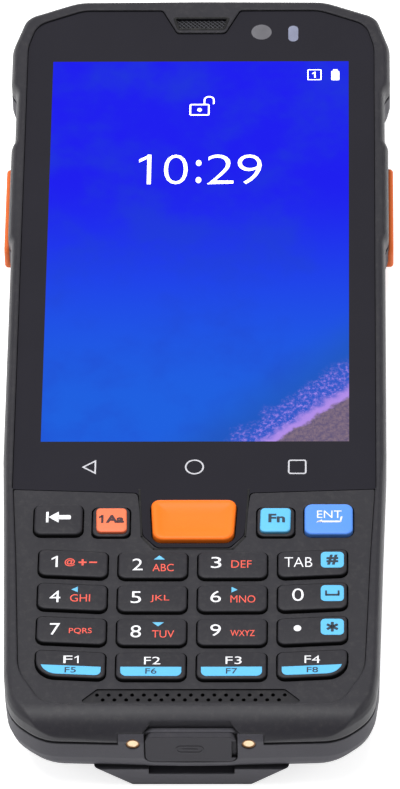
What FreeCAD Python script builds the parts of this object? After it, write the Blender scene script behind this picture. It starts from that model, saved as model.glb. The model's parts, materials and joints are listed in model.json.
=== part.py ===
import FreeCAD, Part
import math
import os

# Portable barcode data terminal, lying on its back with the screen up.
# Sizes are in millimetres. While a piece is made, x and y start at the middle of the screen
# and z starts at the face of the front glass. +Y points to the scanning end. At the end every
# piece is moved alike, so that the origin lies under the middle of the terminal, on its back.

os.makedirs("parts", exist_ok=True)
Vec = FreeCAD.Vector

# Overall sizes
TOP_REACH = 58.0
BOTTOM_REACH = 104.3
HALF_WIDTH = 32.2
SHOULDER_STEP = 1.0
BUMP_STEP = 0.6
FULL_DEPTH = 16.0
SIDE_DEPTH = 12.5
PARTING_DEPTH = 3.5
PARTING_GROOVE_DEPTH = 0.6
PARTING_GROOVE_WIDTH = 0.5
PARTING_GROOVE_RAMP = 0.1
LIP_HEIGHT = 0.3

# Rounded edges of the housing: how far it is drawn in at each depth
FRONT_EDGE_LEVELS = ((0.0, 1.4), (0.2, 0.6), (0.5, 0.05), (0.95, -LIP_HEIGHT))
REAR_EDGE_LEVELS = ((0.0, 7.6), (0.4, 9.4), (1.1, 10.9), (2.0, 11.9), (3.2, SIDE_DEPTH))

# Plan of the housing, measured along the sides
SHOULDER_TOP_Y = TOP_REACH - 11.0
SHOULDER_END_Y = TOP_REACH - 19.7
WAIST_TOP_Y = TOP_REACH - 21.1
BUMP_TOP_Y = 25.2
BUMP_END_Y = 2.0
BUMP_RAMP = 1.4
TAPER_START_Y = -46.0
TAPER_MIDDLE_Y = -64.0
TAPER_END_Y = -92.0
TAPER_MIDDLE_STEP = 0.6
TAPER_END_STEP = 1.4
TOP_CORNER_X = 22.0
TOP_CORNER_DROP = 0.15
TOP_SLOPE_X = 31.0
TOP_SLOPE_DROP = 3.8
BOTTOM_SLOPE_X = 29.9
BOTTOM_SLOPE_RISE = 5.2
BOTTOM_CORNER_X = 24.3
BOTTOM_CORNER_RISE = 0.7
SIDE_ROUND = 3.0
CORNER_ROUND = 8.0
TAPER_ROUND = 60.0
CROWN_ROUND = 200.0
CHIN_ROUND = 5.3

# Walls and running clearances
FRONT_WALL = 3.0
REAR_WALL = 4.0
FLOOR_WALL = 1.5
FIT_GAP = 0.1
PIN_GAP = 0.05
OVERRUN = 1.0
KEY_GAP = 0.2
REST_GAP = 0.3

# Front glass and display
SCREEN_WIDTH = 51.84
SCREEN_HEIGHT = 86.4
GLASS_SIDE_BAND = 1.85
GLASS_TOP_BAND = 2.85
GLASS_THICKNESS = 1.2
GLASS_CORNER_X = 20.8
GLASS_SLOPE_X = 29.0
GLASS_SLOPE_DROP = 3.4
GLASS_SIDE_Y = TOP_REACH - 11.5
GLASS_BOTTOM_Y = -53.5
GLASS_CORNER_ROUND = 6.0
GLASS_SLOPE_ROUND = 4.0
GLASS_SIDE_ROUND = 8.0
GLASS_END_ROUND = 0.3
NOTCH_TOP_ROUND = 0.8
NOTCH_BOTTOM_ROUND = 1.0
TONGUE_TOP_ROUND = 0.8
TONGUE_SIDE_ROUND = 2.0
TONGUE_BOTTOM_ROUND = 1.2
SEAM_DIP = 0.8
SEAM_GAP = 0.15
NOTCH_TOP_X = 6.9
NOTCH_BOTTOM_X = 4.3
NOTCH_DEPTH = 5.45
TONGUE_TOP_X = 9.3
TONGUE_SIDE_X = 8.35
TONGUE_SIDE_Y = -63.5
TONGUE_BOTTOM_X = 6.0
TONGUE_BOTTOM_Y = -66.0
DISPLAY_MARGIN = 1.6
DISPLAY_THICKNESS = 2.4

# Keypad panel
PANEL_THICKNESS = 1.6
PANEL_EDGE_GAP = 0.15
PANEL_MIDDLE_X = 29.35
PANEL_MIDDLE_Y = -68.5
PANEL_LOW_X = 28.4
PANEL_LOW_Y = -91.7
PANEL_CORNER_X = 24.3
PANEL_CORNER_RISE = 0.4
PANEL_CORNER_ROUND = 4.0
CROSS_BAR_TOP_Y = -51.6
CROSS_BAR_BOTTOM_Y = -55.2

# Number and function keys
KEY_WIDTH = 11.45
KEY_HEIGHT = 5.7
KEY_PITCH_X = 13.22
KEY_PITCH_Y = 7.02
KEY_FIRST_Y = -70.15
KEY_PROUD = 0.7
KEY_TOP_ROUND = 0.9
KEY_BOTTOM_ROUND = 1.3
KEY_SWEPT_ROUND = 3.4
KEY_EDGE_ROUND = 0.35
KEY_FLANGE_REACH = 0.45
KEY_FLANGE_THICKNESS = 0.55
KEY_FLANGE_GAP = 0.15
KEY_TRAVEL = 0.6
KEY_PAD_GAP = 0.1
SMILE_RISE = 0.7
SMILE_X = 25.6
KEY_ROWS = (
    ("key_1", "key_2", "key_3", "key_tab"),
    ("key_4", "key_5", "key_6", "key_0"),
    ("key_7", "key_8", "key_9", "key_dot"),
    ("key_f1", "key_f2", "key_f3", "key_f4"),
)

# Keys beside the scan key
WIDE_KEY_X = 22.5
WIDE_KEY_WIDTH = 8.1
WIDE_KEY_Y = -60.4
WIDE_KEY_HEIGHT = 6.7
WIDE_KEY_PROUD = 0.8
SHIFT_KEY_X = 13.7
SHIFT_KEY_WIDTH = 6.2
SHIFT_KEY_Y = -60.8
SHIFT_KEY_HEIGHT = 6.3
SHIFT_KEY_PROUD = 0.4
SHIFT_CAP_MARGIN = 0.55
SHIFT_CAP_THICKNESS = 0.6
SCAN_KEY_WIDTH = 14.4
SCAN_KEY_NARROWING = 0.5
SCAN_KEY_Y = -60.6
SCAN_KEY_HEIGHT = 8.6
SCAN_KEY_PROUD = 1.1
SCAN_KEY_ROUND = 1.6
SCAN_DISH_DEPTH = 0.35
SCAN_DISH_RADIUS = 60.0

# Rubber mat and boards
MAT_THICKNESS = 0.6
PAD_HEIGHT = 0.4
PAD_RADIUS = 2.2
MAT_INSET = 4.0
MAT_TOP_Y = -56.3
MAT_END_GAP = 12.0
KEYPAD_BOARD_THICKNESS = 0.8
MID_FRAME_DEPTH = 5.7
MID_FRAME_THICKNESS = 0.8
MID_FRAME_GAP = 0.2
MAIN_BOARD_THICKNESS = 0.8
MAIN_BOARD_INSET = 5.9
RAIL_WIDTH = 3.0
RAIL_X = 19.8
RAIL_END_GAP = 2.0
CAN_HEIGHT = 2.4
CAN_WIDTH = 20.0
CAN_ROUND = 0.6
CAN_X = 11.5
CAN_TOP_Y = -53.0
CAN_BOTTOM_Y = -78.0

# Loudspeaker and its grille
GRILLE_TOP_X = 15.4
GRILLE_BOTTOM_X = 18.4
GRILLE_TOP_RISE = 3.4
GRILLE_BOTTOM_RISE = 0.6
GRILLE_TOP_ROUND = 0.6
GRILLE_BOTTOM_ROUND = 0.4
GRILLE_LEDGE = 0.5
GRILLE_RECESS = 0.25
GRILLE_THICKNESS = 0.6
GRILLE_HOLE_RADIUS = 0.33
GRILLE_PITCH = 1.92
GRILLE_ROW_RISE = 1.35
GRILLE_ROW_STEP = 1.0
GRILLE_UPPER_COUNT = 17
GRILLE_LOWER_COUNT = 16
SPEAKER_WIDTH = 24.0
SPEAKER_LENGTH = 3.6
SPEAKER_THICKNESS = 1.9
MODULE_ROUND = 0.8

# Earpiece, front camera and light sensor
EARPIECE_SLOT_TOP_X = 4.95
EARPIECE_SLOT_BOTTOM_X = 4.1
EARPIECE_SLOT_TOP_Y = TOP_REACH - 4.8
EARPIECE_SLOT_BOTTOM_Y = TOP_REACH - 7.2
EARPIECE_MESH_DEPTH = 0.4
EARPIECE_MESH_THICKNESS = 0.8
EARPIECE_SLOT_ROUND = 0.6
EARPIECE_WIDTH = 12.0
EARPIECE_LENGTH = 5.0
EARPIECE_THICKNESS = 2.2
CAMERA_X = 10.6
CAMERA_Y = TOP_REACH - 7.83
CAMERA_RADIUS = 1.8
CAMERA_LENGTH = 3.2
SENSOR_X = 16.2
SENSOR_Y = TOP_REACH - 8.2
SENSOR_WIDTH = 1.8
SENSOR_LENGTH = 3.8
SENSOR_THICKNESS = 1.2

# Raised back of the rear shell
HUMP_START_DEPTH = 11.0
HUMP_BASE_X = 25.0
HUMP_FACE_X = 22.5
HUMP_TOP_GAP = 2.3
HUMP_SLOPE = 1.3
HUMP_CORNER_X = 17.0
HUMP_CORNER_DROP = 7.0
HUMP_WAIST_Y = -52.0
SPINE_START_Y = -64.0
SPINE_BASE_X = 16.0
SPINE_FACE_X = 10.5
SPINE_END_GAP = 0.6
HUMP_ROUND = 5.0
SPINE_END_ROUND = 1.0

# Scanning end
NOSE_HALF_WIDTH = 14.0
NOSE_TOP_DEPTH = 5.0
NOSE_BOTTOM_DEPTH = 15.2
NOSE_FACE_GAP = 0.3
NOSE_LENGTH = 9.0
WINDOW_HALF_WIDTH = 11.5
WINDOW_TOP_DEPTH = 7.4
WINDOW_BOTTOM_DEPTH = 14.2
WINDOW_THICKNESS = 1.0
WINDOW_LEDGE = 0.9
WINDOW_ROUND = 1.2
ENGINE_POCKET_X = 18.4
ENGINE_POCKET_Y = 37.6
ENGINE_POCKET_STEP_Y = 51.0
ENGINE_POCKET_NARROW_X = 11.4
ENGINE_POCKET_DEPTH = 14.8
ENGINE_WALL = 2.4
ENGINE_HALF_WIDTH = 9.8
ENGINE_LENGTH = 14.0
ENGINE_HEIGHT = 6.2
ENGINE_LENS_RADIUS = 2.07
ENGINE_LENS_DEPTH = 2.0
ENGINE_LENS_X = -3.27
ENGINE_LAMP_RADIUS = 1.24
ENGINE_LAMP_DEPTH = 1.0
ENGINE_LAMP_X = 4.9

# Rear camera and lamp
REAR_CAMERA_X = 14.3
REAR_CAMERA_Y = 46.8
REAR_CAMERA_RADIUS = 3.4
REAR_CAMERA_LENGTH = 5.4
REAR_CAMERA_RECESS = 0.3
REAR_CAMERA_DISH_RADIUS = 2.04
REAR_CAMERA_DISH_DEPTH = 0.3
LAMP_Y = 40.6
LAMP_RADIUS = 1.6
LAMP_LENGTH = 2.4

# Battery, its cover, seal and latch
BATTERY_BAY_X = 18.2
BATTERY_BAY_TOP_Y = 23.5
BATTERY_BAY_BOTTOM_Y = -46.5
BATTERY_BAY_DEPTH = 8.6
BAY_WALL = 1.0
BATTERY_GAP = 0.2
BATTERY_ROUND = 1.2
COVER_THICKNESS = 1.4
COVER_MARGIN = 2.3
COVER_END_MARGIN = 3.5
COVER_ROUND = 3.5
COVER_GAP = 0.15
SEAL_WIDTH = 0.9
SEAL_THICKNESS = 0.6
SEAL_MARGIN = 0.6
SEAL_OUTER_ROUND = 2.0
SEAL_INNER_ROUND = 1.0
LATCH_WIDTH = 9.0
LATCH_LENGTH = 5.0
LATCH_THICKNESS = 1.1
LATCH_RECESS = 0.2
LATCH_TRAVEL = 3.0
LATCH_TONGUE_WIDTH = 5.0
LATCH_TONGUE_LENGTH = 1.1
LATCH_TONGUE_THICKNESS = 0.6
LATCH_START_GAP = 0.6
LATCH_RIDGE_COUNT = 3
LATCH_RIDGE_WIDTH = 0.5
LATCH_RIDGE_PITCH = 1.1
LATCH_RIDGE_HEIGHT = 0.15
LATCH_RIDGE_INSET = 1.0

# Port block at the bottom end, port cover, socket and charging contacts
PORT_BLOCK_X = 11.9
PORT_BLOCK_DEPTH = 2.0
PORT_BLOCK_LENGTH = 5.2
PORT_BLOCK_WALL = 2.0
PORT_HALF_WIDTH = 7.45
PORT_TOP_DEPTH = 2.05
PORT_BOTTOM_DEPTH = 8.6
PORT_COVER_THICKNESS = 1.0
PORT_COVER_ROUND = 1.6
PORT_FACE_GAP = 0.35
PORT_WELL_MARGIN = 1.3
PORT_WELL_LENGTH = 2.4
PLUG_GAP = 0.4
PLUG_LENGTH = 1.5
FINGER_NOTCH_WIDTH = 0.8
FINGER_NOTCH_HEIGHT = 4.4
SCOOP_TOP_X = 5.5
SCOOP_BOTTOM_X = 8.0
SCOOP_LENGTH = 2.2
SOCKET_HALF_WIDTH = 4.6
SOCKET_HEIGHT = 3.3
SOCKET_LENGTH = 7.2
SOCKET_WALL = 0.35
SOCKET_TONGUE_THICKNESS = 0.7
SOCKET_TONGUE_MARGIN = 1.0
CONTACT_X = 9.47
CONTACT_DEPTH = 3.95
CONTACT_RADIUS = 1.1
CONTACT_LENGTH = 4.4
CONTACT_RECESS = 0.15

# Lanyard slot at the bottom end
LANYARD_HALF_WIDTH = 7.05
LANYARD_TOP_DEPTH = 10.9
LANYARD_HEIGHT = 1.6
LANYARD_BAR = 3.3
LANYARD_EXIT = 2.4

# Side triggers and side keys
TRIGGER_PROUD = 0.85
TRIGGER_TOP_Y = 22.7
TRIGGER_BOTTOM_Y = 3.5
TRIGGER_TOP_DEPTH = 4.6
TRIGGER_BOTTOM_DEPTH = 10.2
TRIGGER_POCKET_DEPTH = 2.6
TRIGGER_ROUND = 1.4
TRIGGER_RIM_ROUND = 0.6
TRIGGER_TRAVEL = 0.5
SIDE_KEY_TOP_Y = 34.2
SIDE_KEY_BOTTOM_Y = 27.6
SIDE_KEY_TOP_DEPTH = 5.4
SIDE_KEY_BOTTOM_DEPTH = 8.6
SIDE_KEY_POCKET_DEPTH = 1.9
SIDE_KEY_GAP = 0.25
SIDE_KEY_ROUND = 1.2
PLUNGER_RADIUS = 0.8
PLUNGER_REACH = 0.4
PLUNGER_DEPTH = 7.4
SWITCH_WIDTH = 1.6
SWITCH_LENGTH = 4.0
SWITCH_HEIGHT = 2.6

# Fasteners and small inner pieces
SCREW_POINTS = ((27.0, 42.0), (27.0, -10.0), (26.2, -58.0), (23.0, -94.0))
SCREW_RADIUS = 0.9
SCREW_HEAD_RADIUS = 1.7
SCREW_HEAD_HEIGHT = 1.2
SCREW_DRIVE_RADIUS = 0.7
SCREW_DRIVE_DEPTH = 0.6
SCREW_BORE_DEPTH = 1.6
BOSS_RADIUS = 2.6
MOTOR_RADIUS = 1.7
MOTOR_LENGTH = 9.0
MOTOR_X = 22.5
MOTOR_Y = 31.0
CARD_WIDTH = 13.0
CARD_LENGTH = 12.0
CARD_THICKNESS = 1.5
CARD_X = 12.0
CARD_Y = -85.5
CARD_ROUND = 0.5

# Levels that follow from the sizes above
GROOVE_FOOT = -PARTING_DEPTH - PARTING_GROOVE_WIDTH - PARTING_GROOVE_RAMP
SEAM_BOTTOM_Y = GLASS_BOTTOM_Y - SEAM_DIP
PANEL_BOTTOM_Y = CHIN_ROUND - BOTTOM_REACH
KEY_FLANGE_TOP = -PANEL_THICKNESS - KEY_FLANGE_GAP
KEY_FOOT = KEY_FLANGE_TOP - KEY_FLANGE_THICKNESS
PAD_TOP = KEY_FOOT - KEY_TRAVEL - KEY_PAD_GAP
MAT_TOP = PAD_TOP - PAD_HEIGHT
MAT_FOOT = MAT_TOP - MAT_THICKNESS
KEYPAD_BOARD_FOOT = MAT_FOOT - KEYPAD_BOARD_THICKNESS
MID_FRAME_FOOT = -MID_FRAME_DEPTH - MID_FRAME_THICKNESS
MAIN_BOARD_FOOT = MID_FRAME_FOOT - MAIN_BOARD_THICKNESS
REAR_FLOOR = FLOOR_WALL - SIDE_DEPTH
COVER_INNER = COVER_THICKNESS - FULL_DEPTH
NOSE_FACE_Y = TOP_REACH - NOSE_FACE_GAP
PORT_FACE_Y = PORT_FACE_GAP - BOTTOM_REACH
PORT_SEAT_Y = PORT_FACE_Y + PORT_COVER_THICKNESS
PORT_WELL_Y = PORT_SEAT_Y + PORT_WELL_LENGTH
HALF_LENGTH = (TOP_REACH + BOTTOM_REACH) / 2
MIDDLE_Y = (TOP_REACH - BOTTOM_REACH) / 2
PLACE = Vec(0, -MIDDLE_Y, FULL_DEPTH)


def both_sides(half):
    """A closed list of corners from those of the right side, which run from top to bottom."""
    left = [(-x, y, radius) for x, y, radius in reversed(half) if x > 0]
    return [corner for corner in half] + left


def rounded_wire(corners, z):
    """A closed wire at height z through (x, y, radius) corners, each rounded by a tangent arc."""
    count = len(corners)
    points = [Vec(x, y, z) for x, y, radius in corners]
    ends = []
    edges = []
    for i in range(count):
        radius = corners[i][2]
        back = (points[i - 1] - points[i]).normalize()
        ahead = (points[(i + 1) % count] - points[i]).normalize()
        half_angle = back.getAngle(ahead) / 2
        if radius == 0 or math.cos(half_angle) < 1e-6:
            ends.append((points[i], points[i]))
            continue
        reach = radius / math.tan(half_angle)
        inward = (back + ahead).normalize()
        middle = points[i] + inward * (radius / math.sin(half_angle) - radius)
        start = points[i] + back * reach
        end = points[i] + ahead * reach
        edges.append(Part.Arc(start, middle, end).toShape())
        ends.append((start, end))
    for i in range(count):
        leave = ends[i][1]
        arrive = ends[(i + 1) % count][0]
        if leave.distanceToPoint(arrive) > 1e-6:
            edges.append(Part.makeLine(leave, arrive))
    return Part.Wire(Part.__sortEdges__(edges))


def slab(corners, low, high):
    """A solid of one rounded outline between two heights."""
    face = Part.Face(rounded_wire(corners, low))
    return face.extrude(Vec(0, 0, high - low))


def stack(levels):
    """A solid through several (corners, height) outlines with straight sides between them."""
    wires = [rounded_wire(corners, height) for corners, height in levels]
    return Part.makeLoft(wires, True, True)


def block(low_x, high_x, low_y, high_y, low_z, high_z):
    """A plain box between its limits."""
    size = (high_x - low_x, high_y - low_y, high_z - low_z)
    return Part.makeBox(size[0], size[1], size[2], Vec(low_x, low_y, low_z))


def rectangle(low_x, high_x, low_y, high_y, radius):
    """The corners of a rectangle with one corner radius."""
    return [
        (low_x, low_y, radius),
        (high_x, low_y, radius),
        (high_x, high_y, radius),
        (low_x, high_y, radius),
    ]


def end_plate(half_width, low_z, high_z, radius, start_y, end_y):
    """A rounded plate that stands upright across the terminal, between two y values."""
    plate = slab(rectangle(-half_width, half_width, low_z, high_z, radius), 0, end_y - start_y)
    plate.rotate(Vec(0, 0, 0), Vec(1, 0, 0), 90)
    plate.translate(Vec(0, end_y, 0))
    return plate


def side_plate(low_y, high_y, low_z, high_z, radius, inner_x, outer_x):
    """A rounded plate that stands upright on the right side, between two x values."""
    plate = slab(rectangle(low_y, high_y, low_z, high_z, radius), 0, outer_x - inner_x)
    plate.rotate(Vec(0, 0, 0), Vec(1, 1, 1), 120)
    plate.translate(Vec(inner_x, 0, 0))
    return plate


def mirrored(shape):
    """The same piece on the other side of the terminal."""
    return shape.mirror(Vec(0, 0, 0), Vec(1, 0, 0))


def housing_corners(inset):
    """The plan of the housing, drawn in by an inset on every side."""
    shoulder = HALF_WIDTH + SHOULDER_STEP
    bump = HALF_WIDTH + BUMP_STEP
    half = [
        (0, TOP_REACH, CROWN_ROUND),
        (TOP_CORNER_X, TOP_REACH - TOP_CORNER_DROP, CORNER_ROUND),
        (TOP_SLOPE_X, TOP_REACH - TOP_SLOPE_DROP, SIDE_ROUND),
        (shoulder, SHOULDER_TOP_Y, CORNER_ROUND),
        (shoulder, SHOULDER_END_Y, SIDE_ROUND),
        (HALF_WIDTH, WAIST_TOP_Y, SIDE_ROUND),
        (HALF_WIDTH, BUMP_TOP_Y, SIDE_ROUND),
        (bump, BUMP_TOP_Y - BUMP_RAMP, SIDE_ROUND),
        (bump, BUMP_END_Y + BUMP_RAMP, SIDE_ROUND),
        (HALF_WIDTH, BUMP_END_Y, SIDE_ROUND),
        (HALF_WIDTH, TAPER_START_Y, TAPER_ROUND),
        (HALF_WIDTH - TAPER_MIDDLE_STEP, TAPER_MIDDLE_Y, TAPER_ROUND),
        (HALF_WIDTH - TAPER_END_STEP, TAPER_END_Y, CORNER_ROUND),
        (BOTTOM_SLOPE_X, BOTTOM_SLOPE_RISE - BOTTOM_REACH, CORNER_ROUND),
        (BOTTOM_CORNER_X, BOTTOM_CORNER_RISE - BOTTOM_REACH, CORNER_ROUND),
        (0, -BOTTOM_REACH, CROWN_ROUND),
    ]
    across = 1 - inset / HALF_WIDTH
    along = 1 - inset / HALF_LENGTH
    drawn = [(x * across, MIDDLE_Y + (y - MIDDLE_Y) * along, r) for x, y, r in half]
    return both_sides(drawn)


def chin_cutter():
    """What is cut away to round the front edge at the bottom end."""
    edge_y = CHIN_ROUND - BOTTOM_REACH
    width = 4 * HALF_WIDTH
    box = block(-width / 2, width / 2, edge_y - 3 * CHIN_ROUND, edge_y,
                LIP_HEIGHT - CHIN_ROUND, LIP_HEIGHT + CHIN_ROUND)
    core = Part.makeCylinder(CHIN_ROUND, width, Vec(-width / 2, edge_y, LIP_HEIGHT - CHIN_ROUND),
                             Vec(1, 0, 0))
    return box.cut(core)


def glass_corners(grow):
    """The outline of the front glass, grown by a clearance."""
    side = HALF_WIDTH - GLASS_SIDE_BAND + grow
    top = TOP_REACH - GLASS_TOP_BAND + grow
    half = [
        (0, top - NOTCH_DEPTH, 0),
        (NOTCH_BOTTOM_X - grow, top - NOTCH_DEPTH, NOTCH_BOTTOM_ROUND),
        (NOTCH_TOP_X - grow, top, NOTCH_TOP_ROUND),
        (GLASS_CORNER_X, top, GLASS_CORNER_ROUND),
        (GLASS_SLOPE_X, top - GLASS_SLOPE_DROP, GLASS_SLOPE_ROUND),
        (side, GLASS_SIDE_Y, GLASS_SIDE_ROUND),
        (side, GLASS_BOTTOM_Y - grow, GLASS_END_ROUND),
        (TONGUE_TOP_X + grow, SEAM_BOTTOM_Y - grow, TONGUE_TOP_ROUND),
        (TONGUE_SIDE_X + grow, TONGUE_SIDE_Y, TONGUE_SIDE_ROUND),
        (TONGUE_BOTTOM_X + grow, TONGUE_BOTTOM_Y - grow, TONGUE_BOTTOM_ROUND),
        (0, TONGUE_BOTTOM_Y - grow, 0),
    ]
    return both_sides(half)


def panel_corners(grow):
    """The outline of the keypad panel, grown by a clearance."""
    top = GLASS_BOTTOM_Y - SEAM_GAP + grow
    tongue_x = TONGUE_TOP_X + SEAM_GAP - grow
    half = [
        (0, TONGUE_BOTTOM_Y - SEAM_GAP + grow, 0),
        (TONGUE_BOTTOM_X + SEAM_GAP - grow, TONGUE_BOTTOM_Y - SEAM_GAP + grow, TONGUE_BOTTOM_ROUND),
        (TONGUE_SIDE_X + SEAM_GAP - grow, TONGUE_SIDE_Y, TONGUE_SIDE_ROUND),
        (tongue_x, SEAM_BOTTOM_Y - SEAM_GAP + grow, TONGUE_TOP_ROUND),
        (HALF_WIDTH - GLASS_SIDE_BAND - PANEL_EDGE_GAP + grow, top, GLASS_END_ROUND),
        (PANEL_MIDDLE_X + grow, PANEL_MIDDLE_Y, TAPER_ROUND),
        (PANEL_LOW_X + grow, PANEL_LOW_Y, CORNER_ROUND),
        (PANEL_CORNER_X + grow, PANEL_BOTTOM_Y + PANEL_CORNER_RISE - grow, PANEL_CORNER_ROUND),
        (0, PANEL_BOTTOM_Y - grow, 0),
    ]
    return both_sides(half)


def smile(x):
    """How far the rows of keys rise away from the middle."""
    return SMILE_RISE * (x / SMILE_X) ** 4


def grid_key_corners(column, row, grow):
    """The outline of a key in the grid, grown by a clearance."""
    middle_x = (column - 1.5) * KEY_PITCH_X
    middle_y = KEY_FIRST_Y - row * KEY_PITCH_Y
    left = middle_x - KEY_WIDTH / 2 - grow
    right = middle_x + KEY_WIDTH / 2 + grow
    low = middle_y - KEY_HEIGHT / 2 - grow
    high = middle_y + KEY_HEIGHT / 2 + grow
    swept_row = row == len(KEY_ROWS) - 1
    left_round = KEY_SWEPT_ROUND if swept_row and column == 0 else KEY_BOTTOM_ROUND
    last = len(KEY_ROWS[0]) - 1
    right_round = KEY_SWEPT_ROUND if swept_row and column == last else KEY_BOTTOM_ROUND
    return [
        (left, low + smile(left), left_round + grow),
        (right, low + smile(right), right_round + grow),
        (right, high + smile(right), KEY_TOP_ROUND + grow),
        (left, high + smile(left), KEY_TOP_ROUND + grow),
    ]


def wide_key_corners(side, grow):
    """The outline of the wide key at one side of the top row."""
    reach_x = WIDE_KEY_WIDTH / 2 + grow
    reach_y = WIDE_KEY_HEIGHT / 2 + grow
    middle_x = side * WIDE_KEY_X
    return rectangle(middle_x - reach_x, middle_x + reach_x,
                     WIDE_KEY_Y - reach_y, WIDE_KEY_Y + reach_y, KEY_BOTTOM_ROUND + grow)


def shift_key_corners(side, grow):
    """The outline of the small shift key at one side of the scan key."""
    reach_x = SHIFT_KEY_WIDTH / 2 + grow
    reach_y = SHIFT_KEY_HEIGHT / 2 + grow
    middle_x = side * SHIFT_KEY_X
    return rectangle(middle_x - reach_x, middle_x + reach_x,
                     SHIFT_KEY_Y - reach_y, SHIFT_KEY_Y + reach_y, KEY_TOP_ROUND + grow)


def scan_key_corners(grow):
    """The outline of the scan key, which narrows a little towards the bottom end."""
    top_x = SCAN_KEY_WIDTH / 2 + grow
    low_x = top_x - SCAN_KEY_NARROWING
    high = SCAN_KEY_Y + SCAN_KEY_HEIGHT / 2 + grow
    low = SCAN_KEY_Y - SCAN_KEY_HEIGHT / 2 - grow
    radius = SCAN_KEY_ROUND + grow
    return [(-low_x, low, radius), (low_x, low, radius), (top_x, high, radius), (-top_x, high, radius)]


def top_edges(shape):
    """The edges round the highest face of a piece."""
    top = shape.BoundBox.ZMax
    return [e for e in shape.Edges if e.BoundBox.ZMin > top - 1e-4]


def rounded_key(corners, foot, top):
    """A key cap with a soft upper edge."""
    cap = slab(corners, foot, top)
    return cap.makeFillet(KEY_EDGE_ROUND, top_edges(cap))


def key_flange(corners):
    """The two tabs under the panel that hold a key in."""
    xs = [x for x, y, radius in corners]
    ys = [y for x, y, radius in corners]
    middle_y = (min(ys) + max(ys)) / 2
    reach_y = (max(ys) - min(ys)) / 4
    return block(min(xs) - KEY_FLANGE_REACH, max(xs) + KEY_FLANGE_REACH,
                 middle_y - reach_y, middle_y + reach_y, KEY_FOOT, KEY_FLANGE_TOP)


def flanged_key(corners, proud):
    """A key cap with its tabs."""
    cap = rounded_key(corners, KEY_FOOT, proud)
    return cap.fuse(key_flange(corners)).removeSplitter()


def all_key_holes():
    """The outlines of every hole in the keypad panel."""
    holes = [wide_key_corners(side, KEY_GAP) for side in (-1, 1)]
    holes += [shift_key_corners(side, KEY_GAP) for side in (-1, 1)]
    for row, names in enumerate(KEY_ROWS):
        for column in range(len(names)):
            holes.append(grid_key_corners(column, row, KEY_GAP))
    return holes


def key_centres():
    """The middle of each key, where a pad of the mat presses."""
    centres = [(0, SCAN_KEY_Y)]
    for side in (-1, 1):
        centres.append((side * WIDE_KEY_X, WIDE_KEY_Y))
        centres.append((side * SHIFT_KEY_X, SHIFT_KEY_Y))
    for row, names in enumerate(KEY_ROWS):
        for column in range(len(names)):
            middle_x = (column - 1.5) * KEY_PITCH_X
            centres.append((middle_x, KEY_FIRST_Y - row * KEY_PITCH_Y + smile(middle_x)))
    return centres


def grille_corners(grow):
    """The outline of the loudspeaker grille."""
    top = PANEL_BOTTOM_Y + GRILLE_TOP_RISE + grow
    low = PANEL_BOTTOM_Y + GRILLE_BOTTOM_RISE - grow
    half = [
        (0, top, 0),
        (GRILLE_TOP_X + grow, top, GRILLE_TOP_ROUND),
        (GRILLE_BOTTOM_X + grow, low, GRILLE_BOTTOM_ROUND),
        (0, low, 0),
    ]
    return both_sides(half)


def earpiece_slot_corners(grow):
    """The outline of the slot in front of the earpiece."""
    half = [
        (0, EARPIECE_SLOT_TOP_Y + grow, 0),
        (EARPIECE_SLOT_TOP_X + grow, EARPIECE_SLOT_TOP_Y + grow, EARPIECE_SLOT_ROUND),
        (EARPIECE_SLOT_BOTTOM_X + grow, EARPIECE_SLOT_BOTTOM_Y - grow, EARPIECE_SLOT_ROUND),
        (0, EARPIECE_SLOT_BOTTOM_Y - grow, 0),
    ]
    return both_sides(half)


def front_frame():
    """The grey frame round the glass and the keypad, with the tab for the earpiece."""
    edge = [(housing_corners(inset), -depth) for inset, depth in FRONT_EDGE_LEVELS]
    frame = stack([(housing_corners(0), -PARTING_DEPTH)] + edge)
    frame = frame.cut(chin_cutter())
    frame = frame.cut(slab(glass_corners(FIT_GAP), -GLASS_THICKNESS, 2 * LIP_HEIGHT))
    frame = frame.cut(slab(panel_corners(FIT_GAP), -PANEL_THICKNESS, 2 * LIP_HEIGHT))
    hollow = slab(housing_corners(FRONT_WALL + REST_GAP), -PARTING_DEPTH, -GLASS_THICKNESS)
    limit = block(-HALF_WIDTH, HALF_WIDTH, PANEL_BOTTOM_Y + GRILLE_TOP_RISE,
                  EARPIECE_SLOT_BOTTOM_Y - REST_GAP, -PARTING_DEPTH, 0)
    hollow = hollow.common(limit)
    bar = block(-HALF_WIDTH, HALF_WIDTH, CROSS_BAR_BOTTOM_Y, CROSS_BAR_TOP_Y,
                -PARTING_DEPTH, -PANEL_THICKNESS)
    frame = frame.cut(hollow.cut(bar))
    slot = slab(earpiece_slot_corners(0), -GLASS_THICKNESS, 2 * LIP_HEIGHT)
    chamber = block(-EARPIECE_WIDTH / 2 - FIT_GAP, EARPIECE_WIDTH / 2 + FIT_GAP,
                    EARPIECE_SLOT_BOTTOM_Y - REST_GAP, EARPIECE_SLOT_BOTTOM_Y + EARPIECE_LENGTH,
                    -PARTING_DEPTH, -GLASS_THICKNESS)
    speaker_well = block(-SPEAKER_WIDTH / 2 - FIT_GAP, SPEAKER_WIDTH / 2 + FIT_GAP,
                         PANEL_BOTTOM_Y - FIT_GAP, PANEL_BOTTOM_Y + GRILLE_TOP_RISE,
                         -PARTING_DEPTH, -PANEL_THICKNESS)
    port_notch = block(-PORT_BLOCK_X - FIT_GAP, PORT_BLOCK_X + FIT_GAP, -BOTTOM_REACH - OVERRUN,
                       PORT_BLOCK_LENGTH - BOTTOM_REACH + FIT_GAP, -PARTING_DEPTH, -PORT_BLOCK_DEPTH)
    for hole in (slot, chamber, speaker_well, port_notch, scoop_cutter()):
        frame = frame.cut(hole)
    for side in (-1, 1):
        frame = frame.cut(camera_hole(side))
    return frame.removeSplitter()


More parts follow.
